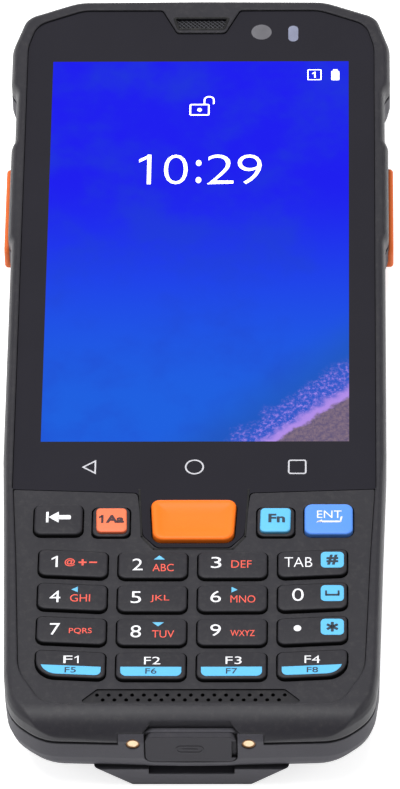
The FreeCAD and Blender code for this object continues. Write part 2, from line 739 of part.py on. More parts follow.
def camera_hole(side):
    """Room under the glass for the front camera and the light sensor."""
    reach = SENSOR_X - CAMERA_X + SENSOR_WIDTH
    low_x = side * CAMERA_X - CAMERA_RADIUS - FIT_GAP if side > 0 else -CAMERA_X - reach
    high_x = low_x + reach + CAMERA_RADIUS + FIT_GAP
    return block(low_x, high_x, EARPIECE_SLOT_BOTTOM_Y - CAMERA_LENGTH,
                 CAMERA_Y + CAMERA_RADIUS + SENSOR_WIDTH / 2 + FIT_GAP,
                 -PARTING_DEPTH, -GLASS_THICKNESS)


def scoop_cutter():
    """The bevelled finger scoop above the port cover."""
    low = -PORT_BLOCK_DEPTH
    high = LIP_HEIGHT
    end_y = -BOTTOM_REACH
    across = [
        Vec(-SCOOP_BOTTOM_X, end_y - OVERRUN, low), Vec(SCOOP_BOTTOM_X, end_y - OVERRUN, low),
        Vec(SCOOP_TOP_X, end_y - OVERRUN, high), Vec(-SCOOP_TOP_X, end_y - OVERRUN, high),
    ]
    along = [
        Vec(-HALF_WIDTH, end_y - OVERRUN, low), Vec(-HALF_WIDTH, end_y + SCOOP_LENGTH, low),
        Vec(-HALF_WIDTH, end_y + CHIN_ROUND / 2, high), Vec(-HALF_WIDTH, end_y - OVERRUN, high),
    ]
    opening = Part.Face(Part.makePolygon(across + [across[0]])).extrude(Vec(0, CHIN_ROUND + OVERRUN, 0))
    slope = Part.Face(Part.makePolygon(along + [along[0]])).extrude(Vec(2 * HALF_WIDTH, 0, 0))
    return opening.common(slope)


def front_glass():
    """The dark front glass with its notch and the tongue round the scan key."""
    glass = slab(glass_corners(0), -GLASS_THICKNESS, 0)
    return glass.cut(slab(scan_key_corners(KEY_GAP), -GLASS_THICKNESS, 0))


def display_panel():
    """The display module, bonded to the back of the glass."""
    reach_x = SCREEN_WIDTH / 2 + DISPLAY_MARGIN
    reach_y = SCREEN_HEIGHT / 2 + DISPLAY_MARGIN
    return block(-reach_x, reach_x, -reach_y, reach_y,
                 -GLASS_THICKNESS - DISPLAY_THICKNESS, -GLASS_THICKNESS)


def keypad_panel():
    """The faceplate that the keys come through, with the recess for the grille."""
    panel = slab(panel_corners(0), -PANEL_THICKNESS, 0)
    holes = [slab(corners, -PANEL_THICKNESS, 0) for corners in all_key_holes()]
    seat = -GRILLE_RECESS - GRILLE_THICKNESS
    holes.append(slab(grille_corners(0), seat, 0))
    holes.append(slab(grille_corners(-GRILLE_LEDGE), -PANEL_THICKNESS, seat))
    return panel.cut(holes)


def speaker_grille():
    """The perforated strip in front of the loudspeaker, with two staggered rows of holes."""
    foot = -GRILLE_RECESS - GRILLE_THICKNESS
    strip = slab(grille_corners(-FIT_GAP / 2), foot, -GRILLE_RECESS)
    holes = []
    for row, count in enumerate((GRILLE_UPPER_COUNT, GRILLE_LOWER_COUNT)):
        y = PANEL_BOTTOM_Y + GRILLE_ROW_RISE + (1 - row) * GRILLE_ROW_STEP
        for i in range(count):
            x = (i - (count - 1) / 2) * GRILLE_PITCH
            holes.append(Part.makeCylinder(GRILLE_HOLE_RADIUS, GRILLE_THICKNESS, Vec(x, y, foot)))
    return strip.cut(holes)


def loudspeaker():
    """The loudspeaker under the grille."""
    half = SPEAKER_WIDTH / 2
    low = -PANEL_THICKNESS - SPEAKER_THICKNESS
    return slab(rectangle(-half, half, PANEL_BOTTOM_Y + FIT_GAP / 2,
                          PANEL_BOTTOM_Y + SPEAKER_LENGTH, MODULE_ROUND), low, -PANEL_THICKNESS)


def earpiece_mesh():
    """The mesh in the earpiece slot."""
    top = -EARPIECE_MESH_DEPTH
    return slab(earpiece_slot_corners(-PIN_GAP), top - EARPIECE_MESH_THICKNESS, top)


def earpiece():
    """The earpiece behind its slot."""
    half = EARPIECE_WIDTH / 2
    low_y = EARPIECE_SLOT_BOTTOM_Y - REST_GAP + FIT_GAP
    return slab(rectangle(-half, half, low_y, low_y + EARPIECE_LENGTH, MODULE_ROUND),
                -GLASS_THICKNESS - EARPIECE_THICKNESS, -GLASS_THICKNESS)


def front_camera():
    """The front camera, which looks through the glass."""
    foot = -GLASS_THICKNESS - CAMERA_LENGTH
    barrel = Part.makeCylinder(CAMERA_RADIUS, CAMERA_LENGTH, Vec(CAMERA_X, CAMERA_Y, foot))
    reach = CAMERA_RADIUS
    base = block(CAMERA_X - reach, CAMERA_X + reach, CAMERA_Y - reach, CAMERA_Y + reach,
                 foot, foot + CAMERA_LENGTH / 2)
    return barrel.fuse(base).removeSplitter()


def light_sensor():
    """The light sensor behind the glass."""
    return slab(rectangle(SENSOR_X - SENSOR_WIDTH / 2, SENSOR_X + SENSOR_WIDTH / 2,
                          SENSOR_Y - SENSOR_LENGTH / 2, SENSOR_Y + SENSOR_LENGTH / 2,
                          SENSOR_WIDTH / 2 - 0.05), -GLASS_THICKNESS - SENSOR_THICKNESS, -GLASS_THICKNESS)


def keypad_mat():
    """The rubber mat under the keys, with one pad for each."""
    area = mat_area(MAT_FOOT, MAT_TOP)
    pads = [Part.makeCylinder(PAD_RADIUS, PAD_TOP - MAT_TOP, Vec(x, y, MAT_TOP))
            for x, y in key_centres()]
    return area.fuse(pads).removeSplitter()


def mat_area(low, high):
    """The outline that the mat and the keypad board share."""
    sheet = slab(housing_corners(MAT_INSET), low, high)
    low_y = MAT_END_GAP - BOTTOM_REACH
    return sheet.common(block(-HALF_WIDTH, HALF_WIDTH, low_y, MAT_TOP_Y, low, high))


def keypad_board():
    """The board with the key switches."""
    return mat_area(KEYPAD_BOARD_FOOT, MAT_FOOT)


def mid_frame():
    """The metal frame between the front and the rear, with rails that carry display and keypad."""
    plate = slab(housing_corners(FRONT_WALL + MID_FRAME_GAP), MID_FRAME_FOOT, -MID_FRAME_DEPTH)
    display_foot = -GLASS_THICKNESS - DISPLAY_THICKNESS
    rails = []
    for side in (-1, 1):
        x = side * RAIL_X
        rails.append(block(x - RAIL_WIDTH / 2, x + RAIL_WIDTH / 2, -SCREEN_HEIGHT / 2,
                           SCREEN_HEIGHT / 2, -MID_FRAME_DEPTH, display_foot))
        rails.append(block(x - RAIL_WIDTH / 2, x + RAIL_WIDTH / 2, MAT_END_GAP + RAIL_END_GAP - BOTTOM_REACH,
                           MAT_TOP_Y - RAIL_END_GAP, -MID_FRAME_DEPTH, KEYPAD_BOARD_FOOT))
    plate = plate.fuse(rails)
    pocket = end_pocket(MID_FRAME_FOOT, -MID_FRAME_DEPTH)
    plate = plate.cut(pocket)
    for x, y in screw_points():
        plate = plate.cut(Part.makeCylinder(SCREW_RADIUS + PIN_GAP, FULL_DEPTH, Vec(x, y, -FULL_DEPTH)))
    return plate.removeSplitter()


def end_pocket(low, high):
    """The room at the bottom end for the socket, the contacts and the port block."""
    half = PORT_BLOCK_X + PORT_BLOCK_WALL + REST_GAP
    return block(-half, half, -BOTTOM_REACH, PORT_WELL_Y + SOCKET_LENGTH + REST_GAP, low, high)


def screw_points():
    """The places of the housing screws on both sides."""
    return [(side * x, y) for side in (-1, 1) for x, y in SCREW_POINTS]


def main_board():
    """The main board under the mid frame."""
    board = slab(housing_corners(MAIN_BOARD_INSET), MAIN_BOARD_FOOT, MID_FRAME_FOOT)
    board = board.cut(end_pocket(MAIN_BOARD_FOOT, MID_FRAME_FOOT))
    for x, y in screw_points():
        board = board.cut(Part.makeCylinder(BOSS_RADIUS + REST_GAP, FULL_DEPTH, Vec(x, y, -FULL_DEPTH)))
    return board


def shield_cans():
    """The two shield cans on the back of the main board."""
    cans = []
    for side in (-1, 1):
        x = side * CAN_X
        corners = rectangle(x - CAN_WIDTH / 2, x + CAN_WIDTH / 2, CAN_BOTTOM_Y, CAN_TOP_Y, CAN_ROUND)
        cans.append(slab(corners, MAIN_BOARD_FOOT - CAN_HEIGHT, MAIN_BOARD_FOOT))
    return Part.makeCompound(cans)


def card_holder():
    """The memory card holder on the back of the main board."""
    return slab(rectangle(-CARD_X - CARD_WIDTH / 2, -CARD_X + CARD_WIDTH / 2,
                          CARD_Y - CARD_LENGTH / 2, CARD_Y + CARD_LENGTH / 2, CARD_ROUND),
                MAIN_BOARD_FOOT - CARD_THICKNESS, MAIN_BOARD_FOOT)


def vibration_motor():
    """The small motor that makes the terminal vibrate."""
    start = Vec(MOTOR_X, MOTOR_Y, REAR_FLOOR + MOTOR_RADIUS + PIN_GAP)
    return Part.makeCylinder(MOTOR_RADIUS, MOTOR_LENGTH, start, Vec(0, -1, 0))


def hump_corners(base):
    """The outline of the raised back, at its base or at its face."""
    reach_x = HUMP_BASE_X if base else HUMP_FACE_X
    spine_x = SPINE_BASE_X if base else SPINE_FACE_X
    draw_in = 0 if base else HUMP_SLOPE
    top = TOP_REACH - HUMP_TOP_GAP - draw_in
    low = SPINE_END_GAP - BOTTOM_REACH + draw_in / 2
    half = [
        (0, top, 0),
        (HUMP_CORNER_X - draw_in, top, HUMP_ROUND),
        (reach_x, top - HUMP_CORNER_DROP, HUMP_ROUND),
        (reach_x, HUMP_WAIST_Y, HUMP_ROUND),
        (spine_x, SPINE_START_Y, HUMP_ROUND),
        (spine_x, low, SPINE_END_ROUND),
        (0, low, 0),
    ]
    return both_sides(half)


def rear_solid():
    """The outer form of the rear shell before it is hollowed."""
    groove = [
        (housing_corners(PARTING_GROOVE_DEPTH), -PARTING_DEPTH),
        (housing_corners(PARTING_GROOVE_DEPTH), -PARTING_DEPTH - PARTING_GROOVE_WIDTH),
        (housing_corners(0), GROOVE_FOOT),
    ]
    edge = [(housing_corners(inset), -depth) for inset, depth in REAR_EDGE_LEVELS]
    side = stack(groove + edge)
    hump = stack([(hump_corners(True), -HUMP_START_DEPTH), (hump_corners(False), -FULL_DEPTH)])
    port_block = slab(housing_corners(0), GROOVE_FOOT, -PORT_BLOCK_DEPTH)
    port_block = port_block.common(block(-PORT_BLOCK_X, PORT_BLOCK_X, -BOTTOM_REACH,
                                         PORT_BLOCK_LENGTH - BOTTOM_REACH,
                                         GROOVE_FOOT, -PORT_BLOCK_DEPTH))
    nose = end_plate(NOSE_HALF_WIDTH, -NOSE_BOTTOM_DEPTH, -NOSE_TOP_DEPTH, HUMP_SLOPE,
                     NOSE_FACE_Y - NOSE_LENGTH, NOSE_FACE_Y)
    return side.fuse([hump, port_block, nose]).cut(chin_cutter())


def rear_hollow():
    """The room inside the rear shell, less the walls and bosses that stand in it."""
    upper = slab(housing_corners(FRONT_WALL), MID_FRAME_FOOT, -PARTING_DEPTH)
    lower = slab(housing_corners(REAR_WALL), REAR_FLOOR, MID_FRAME_FOOT)
    wide = block(-ENGINE_POCKET_X, ENGINE_POCKET_X, ENGINE_POCKET_Y, ENGINE_POCKET_STEP_Y,
                 -ENGINE_POCKET_DEPTH, MID_FRAME_FOOT)
    narrow = block(-ENGINE_POCKET_NARROW_X, ENGINE_POCKET_NARROW_X, ENGINE_POCKET_Y,
                   NOSE_FACE_Y - ENGINE_WALL, -ENGINE_POCKET_DEPTH, MID_FRAME_FOOT)
    room = upper.fuse([lower, wide, narrow])
    bay_x = BATTERY_BAY_X + BAY_WALL
    bay = block(-bay_x, bay_x, BATTERY_BAY_BOTTOM_Y - BAY_WALL, BATTERY_BAY_TOP_Y + BAY_WALL,
                -FULL_DEPTH, BAY_WALL - BATTERY_BAY_DEPTH)
    nose_wall = block(-HALF_WIDTH, HALF_WIDTH, NOSE_FACE_Y - ENGINE_WALL, TOP_REACH,
                      -FULL_DEPTH, -PARTING_DEPTH)
    port_half = PORT_BLOCK_X + PORT_BLOCK_WALL
    port_wall = block(-port_half, port_half, -BOTTOM_REACH,
                      PORT_WELL_Y + REST_GAP, -FULL_DEPTH, -PORT_BLOCK_DEPTH)
    lanyard_half = LANYARD_HALF_WIDTH + FLOOR_WALL
    lanyard_wall = block(-lanyard_half, lanyard_half, -BOTTOM_REACH,
                         LANYARD_BAR + LANYARD_EXIT + FLOOR_WALL - BOTTOM_REACH,
                         -FULL_DEPTH, FLOOR_WALL - LANYARD_TOP_DEPTH)
    latch_floor = block(-LATCH_WIDTH, LATCH_WIDTH, HUMP_WAIST_Y - 3 * LATCH_LENGTH, HUMP_WAIST_Y,
                        -FULL_DEPTH, REAR_FLOOR)
    bosses = [Part.makeCylinder(BOSS_RADIUS, MID_FRAME_FOOT + FULL_DEPTH, Vec(x, y, -FULL_DEPTH))
              for x, y in screw_points()]
    return room.cut([bay, nose_wall, port_wall, lanyard_wall, latch_floor] + bosses)


def bay_rectangle(margin, end_margin, radius):
    """The outline of the battery bay, grown at the sides and at the ends."""
    half = BATTERY_BAY_X + margin
    return rectangle(-half, half, BATTERY_BAY_BOTTOM_Y - end_margin,
                     BATTERY_BAY_TOP_Y + end_margin, radius)


def seal_ring(low, high, grow):
    """The ring of the battery seal between two heights."""
    outer = SEAL_MARGIN + SEAL_WIDTH + grow
    inner = SEAL_MARGIN - grow
    return slab(bay_rectangle(outer, outer, SEAL_OUTER_ROUND), low, high).cut(
        slab(bay_rectangle(inner, inner, SEAL_INNER_ROUND), low, high))


def latch_track():
    """The recess that the battery latch slides in."""
    top_y = latch_top_y() + FIT_GAP
    low_y = top_y - LATCH_LENGTH - LATCH_TRAVEL - REST_GAP
    half = LATCH_WIDTH / 2 + FIT_GAP
    depth = LATCH_THICKNESS + LATCH_RECESS
    return block(-half, half, low_y, top_y, -FULL_DEPTH, depth - FULL_DEPTH)


def latch_top_y():
    """The end of the latch that faces the battery cover."""
    return BATTERY_BAY_BOTTOM_Y - COVER_END_MARGIN - COVER_GAP - LATCH_START_GAP


def tongue_block(grow):
    """The tongue of the latch, which holds the edge of the cover."""
    half = LATCH_TONGUE_WIDTH / 2 + grow
    start = latch_top_y() - grow
    high = LATCH_RECESS + LATCH_THICKNESS - FULL_DEPTH + grow
    return block(-half, half, start, start + LATCH_START_GAP + LATCH_TONGUE_LENGTH + 2 * grow,
                 high - LATCH_TONGUE_THICKNESS - 2 * grow, high)


def lanyard_channel():
    """The slot for a lanyard, which goes in at the bottom end and out at the back."""
    half = LANYARD_HALF_WIDTH
    low = -LANYARD_TOP_DEPTH - LANYARD_HEIGHT
    inner_y = LANYARD_BAR + LANYARD_EXIT - BOTTOM_REACH
    across = block(-half, half, -BOTTOM_REACH - OVERRUN, inner_y, low, -LANYARD_TOP_DEPTH)
    down = block(-half, half, LANYARD_BAR - BOTTOM_REACH, inner_y, -FULL_DEPTH, low)
    return across.fuse(down)


def side_pocket(side, low_y, high_y, low_z, high_z, radius, inner_x):
    """A pocket in one side wall for a trigger or a side key."""
    pocket = side_plate(low_y - SIDE_KEY_GAP, high_y + SIDE_KEY_GAP, low_z - SIDE_KEY_GAP,
                        high_z + SIDE_KEY_GAP, radius + SIDE_KEY_GAP, inner_x, 2 * HALF_WIDTH)
    return pocket if side > 0 else mirrored(pocket)


def plunger(side, middle_y, start_x, end_x, radius):
    """A round plunger, or its hole, through one side wall."""
    rod = Part.makeCylinder(radius, start_x - end_x, Vec(end_x, middle_y, -PLUNGER_DEPTH), Vec(1, 0, 0))
    return rod if side > 0 else mirrored(rod)


def side_wall_x():
    """The inner face of the side wall beside the side keys."""
    return HALF_WIDTH - REAR_WALL


def trigger_middle():
    """The middle of a side trigger along the side."""
    return (TRIGGER_TOP_Y + TRIGGER_BOTTOM_Y) / 2


def side_key_middle():
    """The middle of a side key along the side."""
    return (SIDE_KEY_TOP_Y + SIDE_KEY_BOTTOM_Y) / 2


def trigger_pocket_x():
    """The floor of the pocket behind a side trigger."""
    return HALF_WIDTH + BUMP_STEP - TRIGGER_POCKET_DEPTH


def side_key_pocket_x():
    """The floor of the pocket behind a side key."""
    return HALF_WIDTH - SIDE_KEY_POCKET_DEPTH


def rear_shell():
    """The rear shell: raised back, battery bay, scanning end, port block and lanyard bar."""
    shell = rear_solid().cut(rear_hollow())
    cuts = [
        slab(bay_rectangle(0, 0, BATTERY_ROUND), COVER_INNER, -BATTERY_BAY_DEPTH),
        slab(bay_rectangle(COVER_MARGIN, COVER_END_MARGIN, COVER_ROUND), -FULL_DEPTH, COVER_INNER),
        seal_ring(COVER_INNER, COVER_INNER + SEAL_THICKNESS, 0),
        latch_track(),
        tongue_block(FIT_GAP),
        lanyard_channel(),
        end_plate(WINDOW_HALF_WIDTH + PIN_GAP, -WINDOW_BOTTOM_DEPTH - PIN_GAP,
                  -WINDOW_TOP_DEPTH + PIN_GAP, WINDOW_ROUND,
                  NOSE_FACE_Y - WINDOW_THICKNESS, NOSE_FACE_Y + OVERRUN),
        end_plate(WINDOW_HALF_WIDTH - WINDOW_LEDGE, WINDOW_LEDGE - WINDOW_BOTTOM_DEPTH,
                  -WINDOW_TOP_DEPTH - WINDOW_LEDGE, WINDOW_ROUND / 2,
                  NOSE_FACE_Y - ENGINE_WALL, NOSE_FACE_Y),
        Part.makeCylinder(REAR_CAMERA_RADIUS + PIN_GAP, FULL_DEPTH - ENGINE_POCKET_DEPTH + OVERRUN,
                          Vec(REAR_CAMERA_X, REAR_CAMERA_Y, -FULL_DEPTH)),
        Part.makeCylinder(LAMP_RADIUS + PIN_GAP, FULL_DEPTH - ENGINE_POCKET_DEPTH + OVERRUN,
                          Vec(REAR_CAMERA_X, LAMP_Y, -FULL_DEPTH)),
        end_plate(PORT_HALF_WIDTH + KEY_GAP, -PORT_BOTTOM_DEPTH - KEY_GAP, 0, PORT_COVER_ROUND,
                  -BOTTOM_REACH - OVERRUN, PORT_SEAT_Y),
        port_well(),
        block(-SOCKET_HALF_WIDTH - FIT_GAP, SOCKET_HALF_WIDTH + FIT_GAP, PORT_WELL_Y - OVERRUN,
              PORT_WELL_Y + SOCKET_LENGTH, socket_low_z() - FIT_GAP,
              socket_low_z() + SOCKET_HEIGHT + FIT_GAP),
    ]
    for side in (-1, 1):
        cuts.append(Part.makeCylinder(CONTACT_RADIUS + PIN_GAP, CONTACT_LENGTH + 2 * OVERRUN,
                                      Vec(side * CONTACT_X, -BOTTOM_REACH - OVERRUN, -CONTACT_DEPTH),
                                      Vec(0, 1, 0)))
        cuts.append(side_pocket(side, TRIGGER_BOTTOM_Y, TRIGGER_TOP_Y, -TRIGGER_BOTTOM_DEPTH,
                                -TRIGGER_TOP_DEPTH, TRIGGER_ROUND, trigger_pocket_x()))
        cuts.append(plunger(side, trigger_middle(), trigger_pocket_x() + OVERRUN,
                            side_wall_x() - 2 * OVERRUN, PLUNGER_RADIUS + PIN_GAP))
        cuts.append(side_pocket(side, SIDE_KEY_BOTTOM_Y, SIDE_KEY_TOP_Y, -SIDE_KEY_BOTTOM_DEPTH,
                                -SIDE_KEY_TOP_DEPTH, SIDE_KEY_ROUND, side_key_pocket_x()))
    cuts.append(plunger(1, side_key_middle(), side_key_pocket_x() + OVERRUN, side_wall_x() - 2 * OVERRUN,
                        PLUNGER_RADIUS + PIN_GAP))
    head_top = SCREW_BORE_DEPTH + SCREW_HEAD_HEIGHT - SIDE_DEPTH
    for x, y in screw_points():
        cuts.append(Part.makeCylinder(SCREW_HEAD_RADIUS + FIT_GAP, head_top + FULL_DEPTH,
                                      Vec(x, y, -FULL_DEPTH)))
        cuts.append(Part.makeCylinder(SCREW_RADIUS + PIN_GAP, FULL_DEPTH, Vec(x, y, -FULL_DEPTH)))
    for cutter in cuts:
        shell = shell.cut(cutter)
    return shell.removeSplitter()


def port_well():
    """The well behind the port cover, in front of the socket."""
    return end_plate(PORT_HALF_WIDTH - PORT_WELL_MARGIN, PORT_WELL_MARGIN - PORT_BOTTOM_DEPTH,
                     -PORT_TOP_DEPTH - PORT_WELL_MARGIN / 2, PORT_COVER_ROUND - PORT_WELL_MARGIN / 2,
                     PORT_FACE_Y, PORT_WELL_Y)


def socket_low_z():
    """The lower face of the socket, which is centred in the port."""
    return -(PORT_TOP_DEPTH + PORT_BOTTOM_DEPTH) / 2 - SOCKET_HEIGHT / 2


def port_cover():
    """The rubber port cover with its sealing plug and finger notch."""
    plate = end_plate(PORT_HALF_WIDTH, -PORT_BOTTOM_DEPTH, -PORT_TOP_DEPTH, PORT_COVER_ROUND - KEY_GAP,
                      PORT_FACE_Y, PORT_SEAT_Y)
    inset = PORT_WELL_MARGIN + PLUG_GAP
    plug = end_plate(PORT_HALF_WIDTH - inset, inset - PORT_BOTTOM_DEPTH,
                     -PORT_TOP_DEPTH - inset, PORT_COVER_ROUND / 2,
                     PORT_SEAT_Y - PORT_COVER_THICKNESS / 2, PORT_SEAT_Y + PLUG_LENGTH)
    middle_z = -(PORT_TOP_DEPTH + PORT_BOTTOM_DEPTH) / 2
    notch = block(PORT_HALF_WIDTH - FINGER_NOTCH_WIDTH, PORT_HALF_WIDTH, PORT_FACE_Y,
                  PORT_FACE_Y + PORT_COVER_THICKNESS / 2, middle_z - FINGER_NOTCH_HEIGHT / 2,
                  middle_z + FINGER_NOTCH_HEIGHT / 2)
    return plate.fuse(plug).cut(notch).removeSplitter()


def usb_socket():
    """The socket behind the port cover, with its tongue."""
    low_z = socket_low_z()
    half = SOCKET_HALF_WIDTH
    outer = block(-half, half, PORT_WELL_Y, PORT_WELL_Y + SOCKET_LENGTH, low_z, low_z + SOCKET_HEIGHT)
    inner = block(SOCKET_WALL - half, half - SOCKET_WALL, PORT_WELL_Y,
                  PORT_WELL_Y + SOCKET_LENGTH - SOCKET_WALL,
                  low_z + SOCKET_WALL, low_z + SOCKET_HEIGHT - SOCKET_WALL)
    middle = low_z + SOCKET_HEIGHT / 2
    tongue_x = half - SOCKET_TONGUE_MARGIN
    tongue = block(-tongue_x, tongue_x, PORT_WELL_Y + SOCKET_TONGUE_MARGIN,
                   PORT_WELL_Y + SOCKET_LENGTH - SOCKET_WALL,
                   middle - SOCKET_TONGUE_THICKNESS / 2, middle + SOCKET_TONGUE_THICKNESS / 2)
    return outer.cut(inner).fuse(tongue)


def charge_contacts():
    """The two round charging contacts at the bottom end."""
    pins = []
    for side in (-1, 1):
        start = Vec(side * CONTACT_X, PORT_FACE_Y + CONTACT_RECESS, -CONTACT_DEPTH)
        pins.append(Part.makeCylinder(CONTACT_RADIUS, CONTACT_LENGTH, start, Vec(0, 1, 0)))
    return Part.makeCompound(pins)


def scan_window():
    """The window of the scan engine."""
    return end_plate(WINDOW_HALF_WIDTH, -WINDOW_BOTTOM_DEPTH, -WINDOW_TOP_DEPTH, WINDOW_ROUND,
                     NOSE_FACE_Y - WINDOW_THICKNESS, NOSE_FACE_Y)


def scan_engine():
    """The scan engine behind its window, with a round lens and a lamp."""
    face_y = NOSE_FACE_Y - ENGINE_WALL - REST_GAP
    low = -ENGINE_POCKET_DEPTH
    body = block(-ENGINE_HALF_WIDTH, ENGINE_HALF_WIDTH, face_y - ENGINE_LENGTH, face_y,
                 low, low + ENGINE_HEIGHT)
    middle_z = low + ENGINE_HEIGHT / 2
    hole = Part.makeCylinder(ENGINE_LENS_RADIUS, ENGINE_LENS_DEPTH,
                             Vec(ENGINE_LENS_X, face_y, middle_z), Vec(0, -1, 0))
    lamp = Part.makeCylinder(ENGINE_LAMP_RADIUS, ENGINE_LAMP_DEPTH,
                             Vec(ENGINE_LAMP_X, face_y, middle_z), Vec(0, -1, 0))
    return body.cut([hole, lamp])


def rear_camera():
    """The camera in the back."""
    foot = REAR_CAMERA_RECESS - FULL_DEPTH
    barrel = Part.makeCylinder(REAR_CAMERA_RADIUS, REAR_CAMERA_LENGTH,
                               Vec(REAR_CAMERA_X, REAR_CAMERA_Y, foot))
    dish = Part.makeCylinder(REAR_CAMERA_DISH_RADIUS, REAR_CAMERA_DISH_DEPTH,
                             Vec(REAR_CAMERA_X, REAR_CAMERA_Y, foot))
    return barrel.cut(dish)


def camera_lamp():
    """The lamp beside the rear camera."""
    return Part.makeCylinder(LAMP_RADIUS, LAMP_LENGTH,
                             Vec(REAR_CAMERA_X, LAMP_Y, REAR_CAMERA_RECESS - FULL_DEPTH))


def battery_pack():
    """The battery, which lies on its cover."""
    return slab(bay_rectangle(-BATTERY_GAP, -BATTERY_GAP, BATTERY_ROUND),
                COVER_INNER, -BATTERY_BAY_DEPTH - BATTERY_GAP)


def battery_cover():
    """The cover over the battery, with the ledge that the latch holds."""
    plate = slab(bay_rectangle(COVER_MARGIN - COVER_GAP, COVER_END_MARGIN - COVER_GAP, COVER_ROUND),
                 -FULL_DEPTH, COVER_INNER)
    return plate.cut(tongue_block(FIT_GAP)).removeSplitter()


def battery_seal():
    """The rubber seal round the battery bay."""
    return seal_ring(COVER_INNER, COVER_INNER + SEAL_THICKNESS, -PIN_GAP)


def battery_latch():
    """The sliding latch that holds the battery cover, with grip ridges."""
    top_y = latch_top_y()
    half = LATCH_WIDTH / 2
    low = LATCH_RECESS - FULL_DEPTH
    slider = block(-half, half, top_y - LATCH_LENGTH, top_y, low, low + LATCH_THICKNESS)
    ridges = []
    for i in range(LATCH_RIDGE_COUNT):
        y = top_y - LATCH_LENGTH / 2 + (i - 1) * LATCH_RIDGE_PITCH
        ridges.append(block(LATCH_RIDGE_INSET - half, half - LATCH_RIDGE_INSET, y - LATCH_RIDGE_WIDTH / 2, y + LATCH_RIDGE_WIDTH / 2,
                            low - LATCH_RIDGE_HEIGHT, low))
    return slider.fuse([tongue_block(0)] + ridges).removeSplitter()


def housing_screws():
    """The housing screws, with a round drive recess in each head."""
    screws = []
    for x, y in screw_points():
        head_foot = SCREW_BORE_DEPTH - SIDE_DEPTH
        head = Part.makeCylinder(SCREW_HEAD_RADIUS, SCREW_HEAD_HEIGHT, Vec(x, y, head_foot))
        shank_foot = head_foot + SCREW_HEAD_HEIGHT
        shank = Part.makeCylinder(SCREW_RADIUS, -MID_FRAME_DEPTH - shank_foot, Vec(x, y, shank_foot))
        drive = Part.makeCylinder(SCREW_DRIVE_RADIUS, SCREW_DRIVE_DEPTH, Vec(x, y, head_foot))
        screws.append(head.fuse(shank).cut(drive))
    return Part.makeCompound(screws)


def side_trigger(side):
    """An orange side trigger with the plunger that works its switch."""
    inner_x = trigger_pocket_x() + TRIGGER_TRAVEL + FIT_GAP
    outer_x = HALF_WIDTH + BUMP_STEP + TRIGGER_PROUD
    body = side_plate(TRIGGER_BOTTOM_Y, TRIGGER_TOP_Y, -TRIGGER_BOTTOM_DEPTH, -TRIGGER_TOP_DEPTH,
                      TRIGGER_ROUND, inner_x, outer_x)
    rim = [e for e in body.Edges if e.BoundBox.XMin > outer_x - 1e-4]
    body = body.makeFillet(TRIGGER_RIM_ROUND, rim)
    rod = plunger(1, trigger_middle(), inner_x, side_wall_x() - PLUNGER_REACH, PLUNGER_RADIUS)
    whole = body.fuse(rod).removeSplitter()
    return whole if side > 0 else mirrored(whole)


def side_switches():
    """The switches behind the side triggers and the side keys, on the main board."""
    travel = TRIGGER_TRAVEL + FIT_GAP
    outer_x = side_wall_x() - PLUNGER_REACH - travel
    switches = []
    for side in (-1, 1):
        for middle_y in (trigger_middle(), side_key_middle()):
            low_x = outer_x - SWITCH_WIDTH if side > 0 else -outer_x
            switches.append(block(low_x, low_x + SWITCH_WIDTH, middle_y - SWITCH_LENGTH / 2,
                                  middle_y + SWITCH_LENGTH / 2, MAIN_BOARD_FOOT - SWITCH_HEIGHT,
                                  MAIN_BOARD_FOOT))
    return Part.makeCompound(switches)


def power_key():
    """The power key in the right side, flush with the wall."""
    inner_x = side_key_pocket_x() + TRIGGER_TRAVEL + FIT_GAP
    body = side_plate(SIDE_KEY_BOTTOM_Y, SIDE_KEY_TOP_Y, -SIDE_KEY_BOTTOM_DEPTH, -SIDE_KEY_TOP_DEPTH,
                      SIDE_KEY_ROUND, inner_x, HALF_WIDTH)
    rod = plunger(1, side_key_middle(), inner_x, side_wall_x() - PLUNGER_REACH, PLUNGER_RADIUS)
    return body.fuse(rod).removeSplitter()


def volume_rocker():
    """The volume rocker in the left side, which tips about its middle."""
    inner_x = side_key_pocket_x() + TRIGGER_TRAVEL + FIT_GAP
    body = side_plate(SIDE_KEY_BOTTOM_Y, SIDE_KEY_TOP_Y, -SIDE_KEY_BOTTOM_DEPTH, -SIDE_KEY_TOP_DEPTH,
                      SIDE_KEY_ROUND, inner_x, HALF_WIDTH)
    return mirrored(body)


def scan_key():
    """The large orange scan key with its dished face."""
    corners = scan_key_corners(0)
    cap = slab(corners, KEY_FOOT, SCAN_KEY_PROUD)
    dish = Part.makeCylinder(SCAN_DISH_RADIUS, 4 * SCAN_KEY_WIDTH,
                             Vec(-2 * SCAN_KEY_WIDTH, SCAN_KEY_Y,
                                 SCAN_KEY_PROUD - SCAN_DISH_DEPTH + SCAN_DISH_RADIUS), Vec(1, 0, 0))
    cap = cap.makeFillet(KEY_EDGE_ROUND, top_edges(cap)).cut(dish)
    return cap.fuse(key_flange(corners)).removeSplitter()


def shift_cap(side):
    """The coloured cap on a shift key."""
    corners = shift_key_corners(side, -SHIFT_CAP_MARGIN)
    return rounded_key(corners, SHIFT_KEY_PROUD, SHIFT_KEY_PROUD + SHIFT_CAP_THICKNESS)


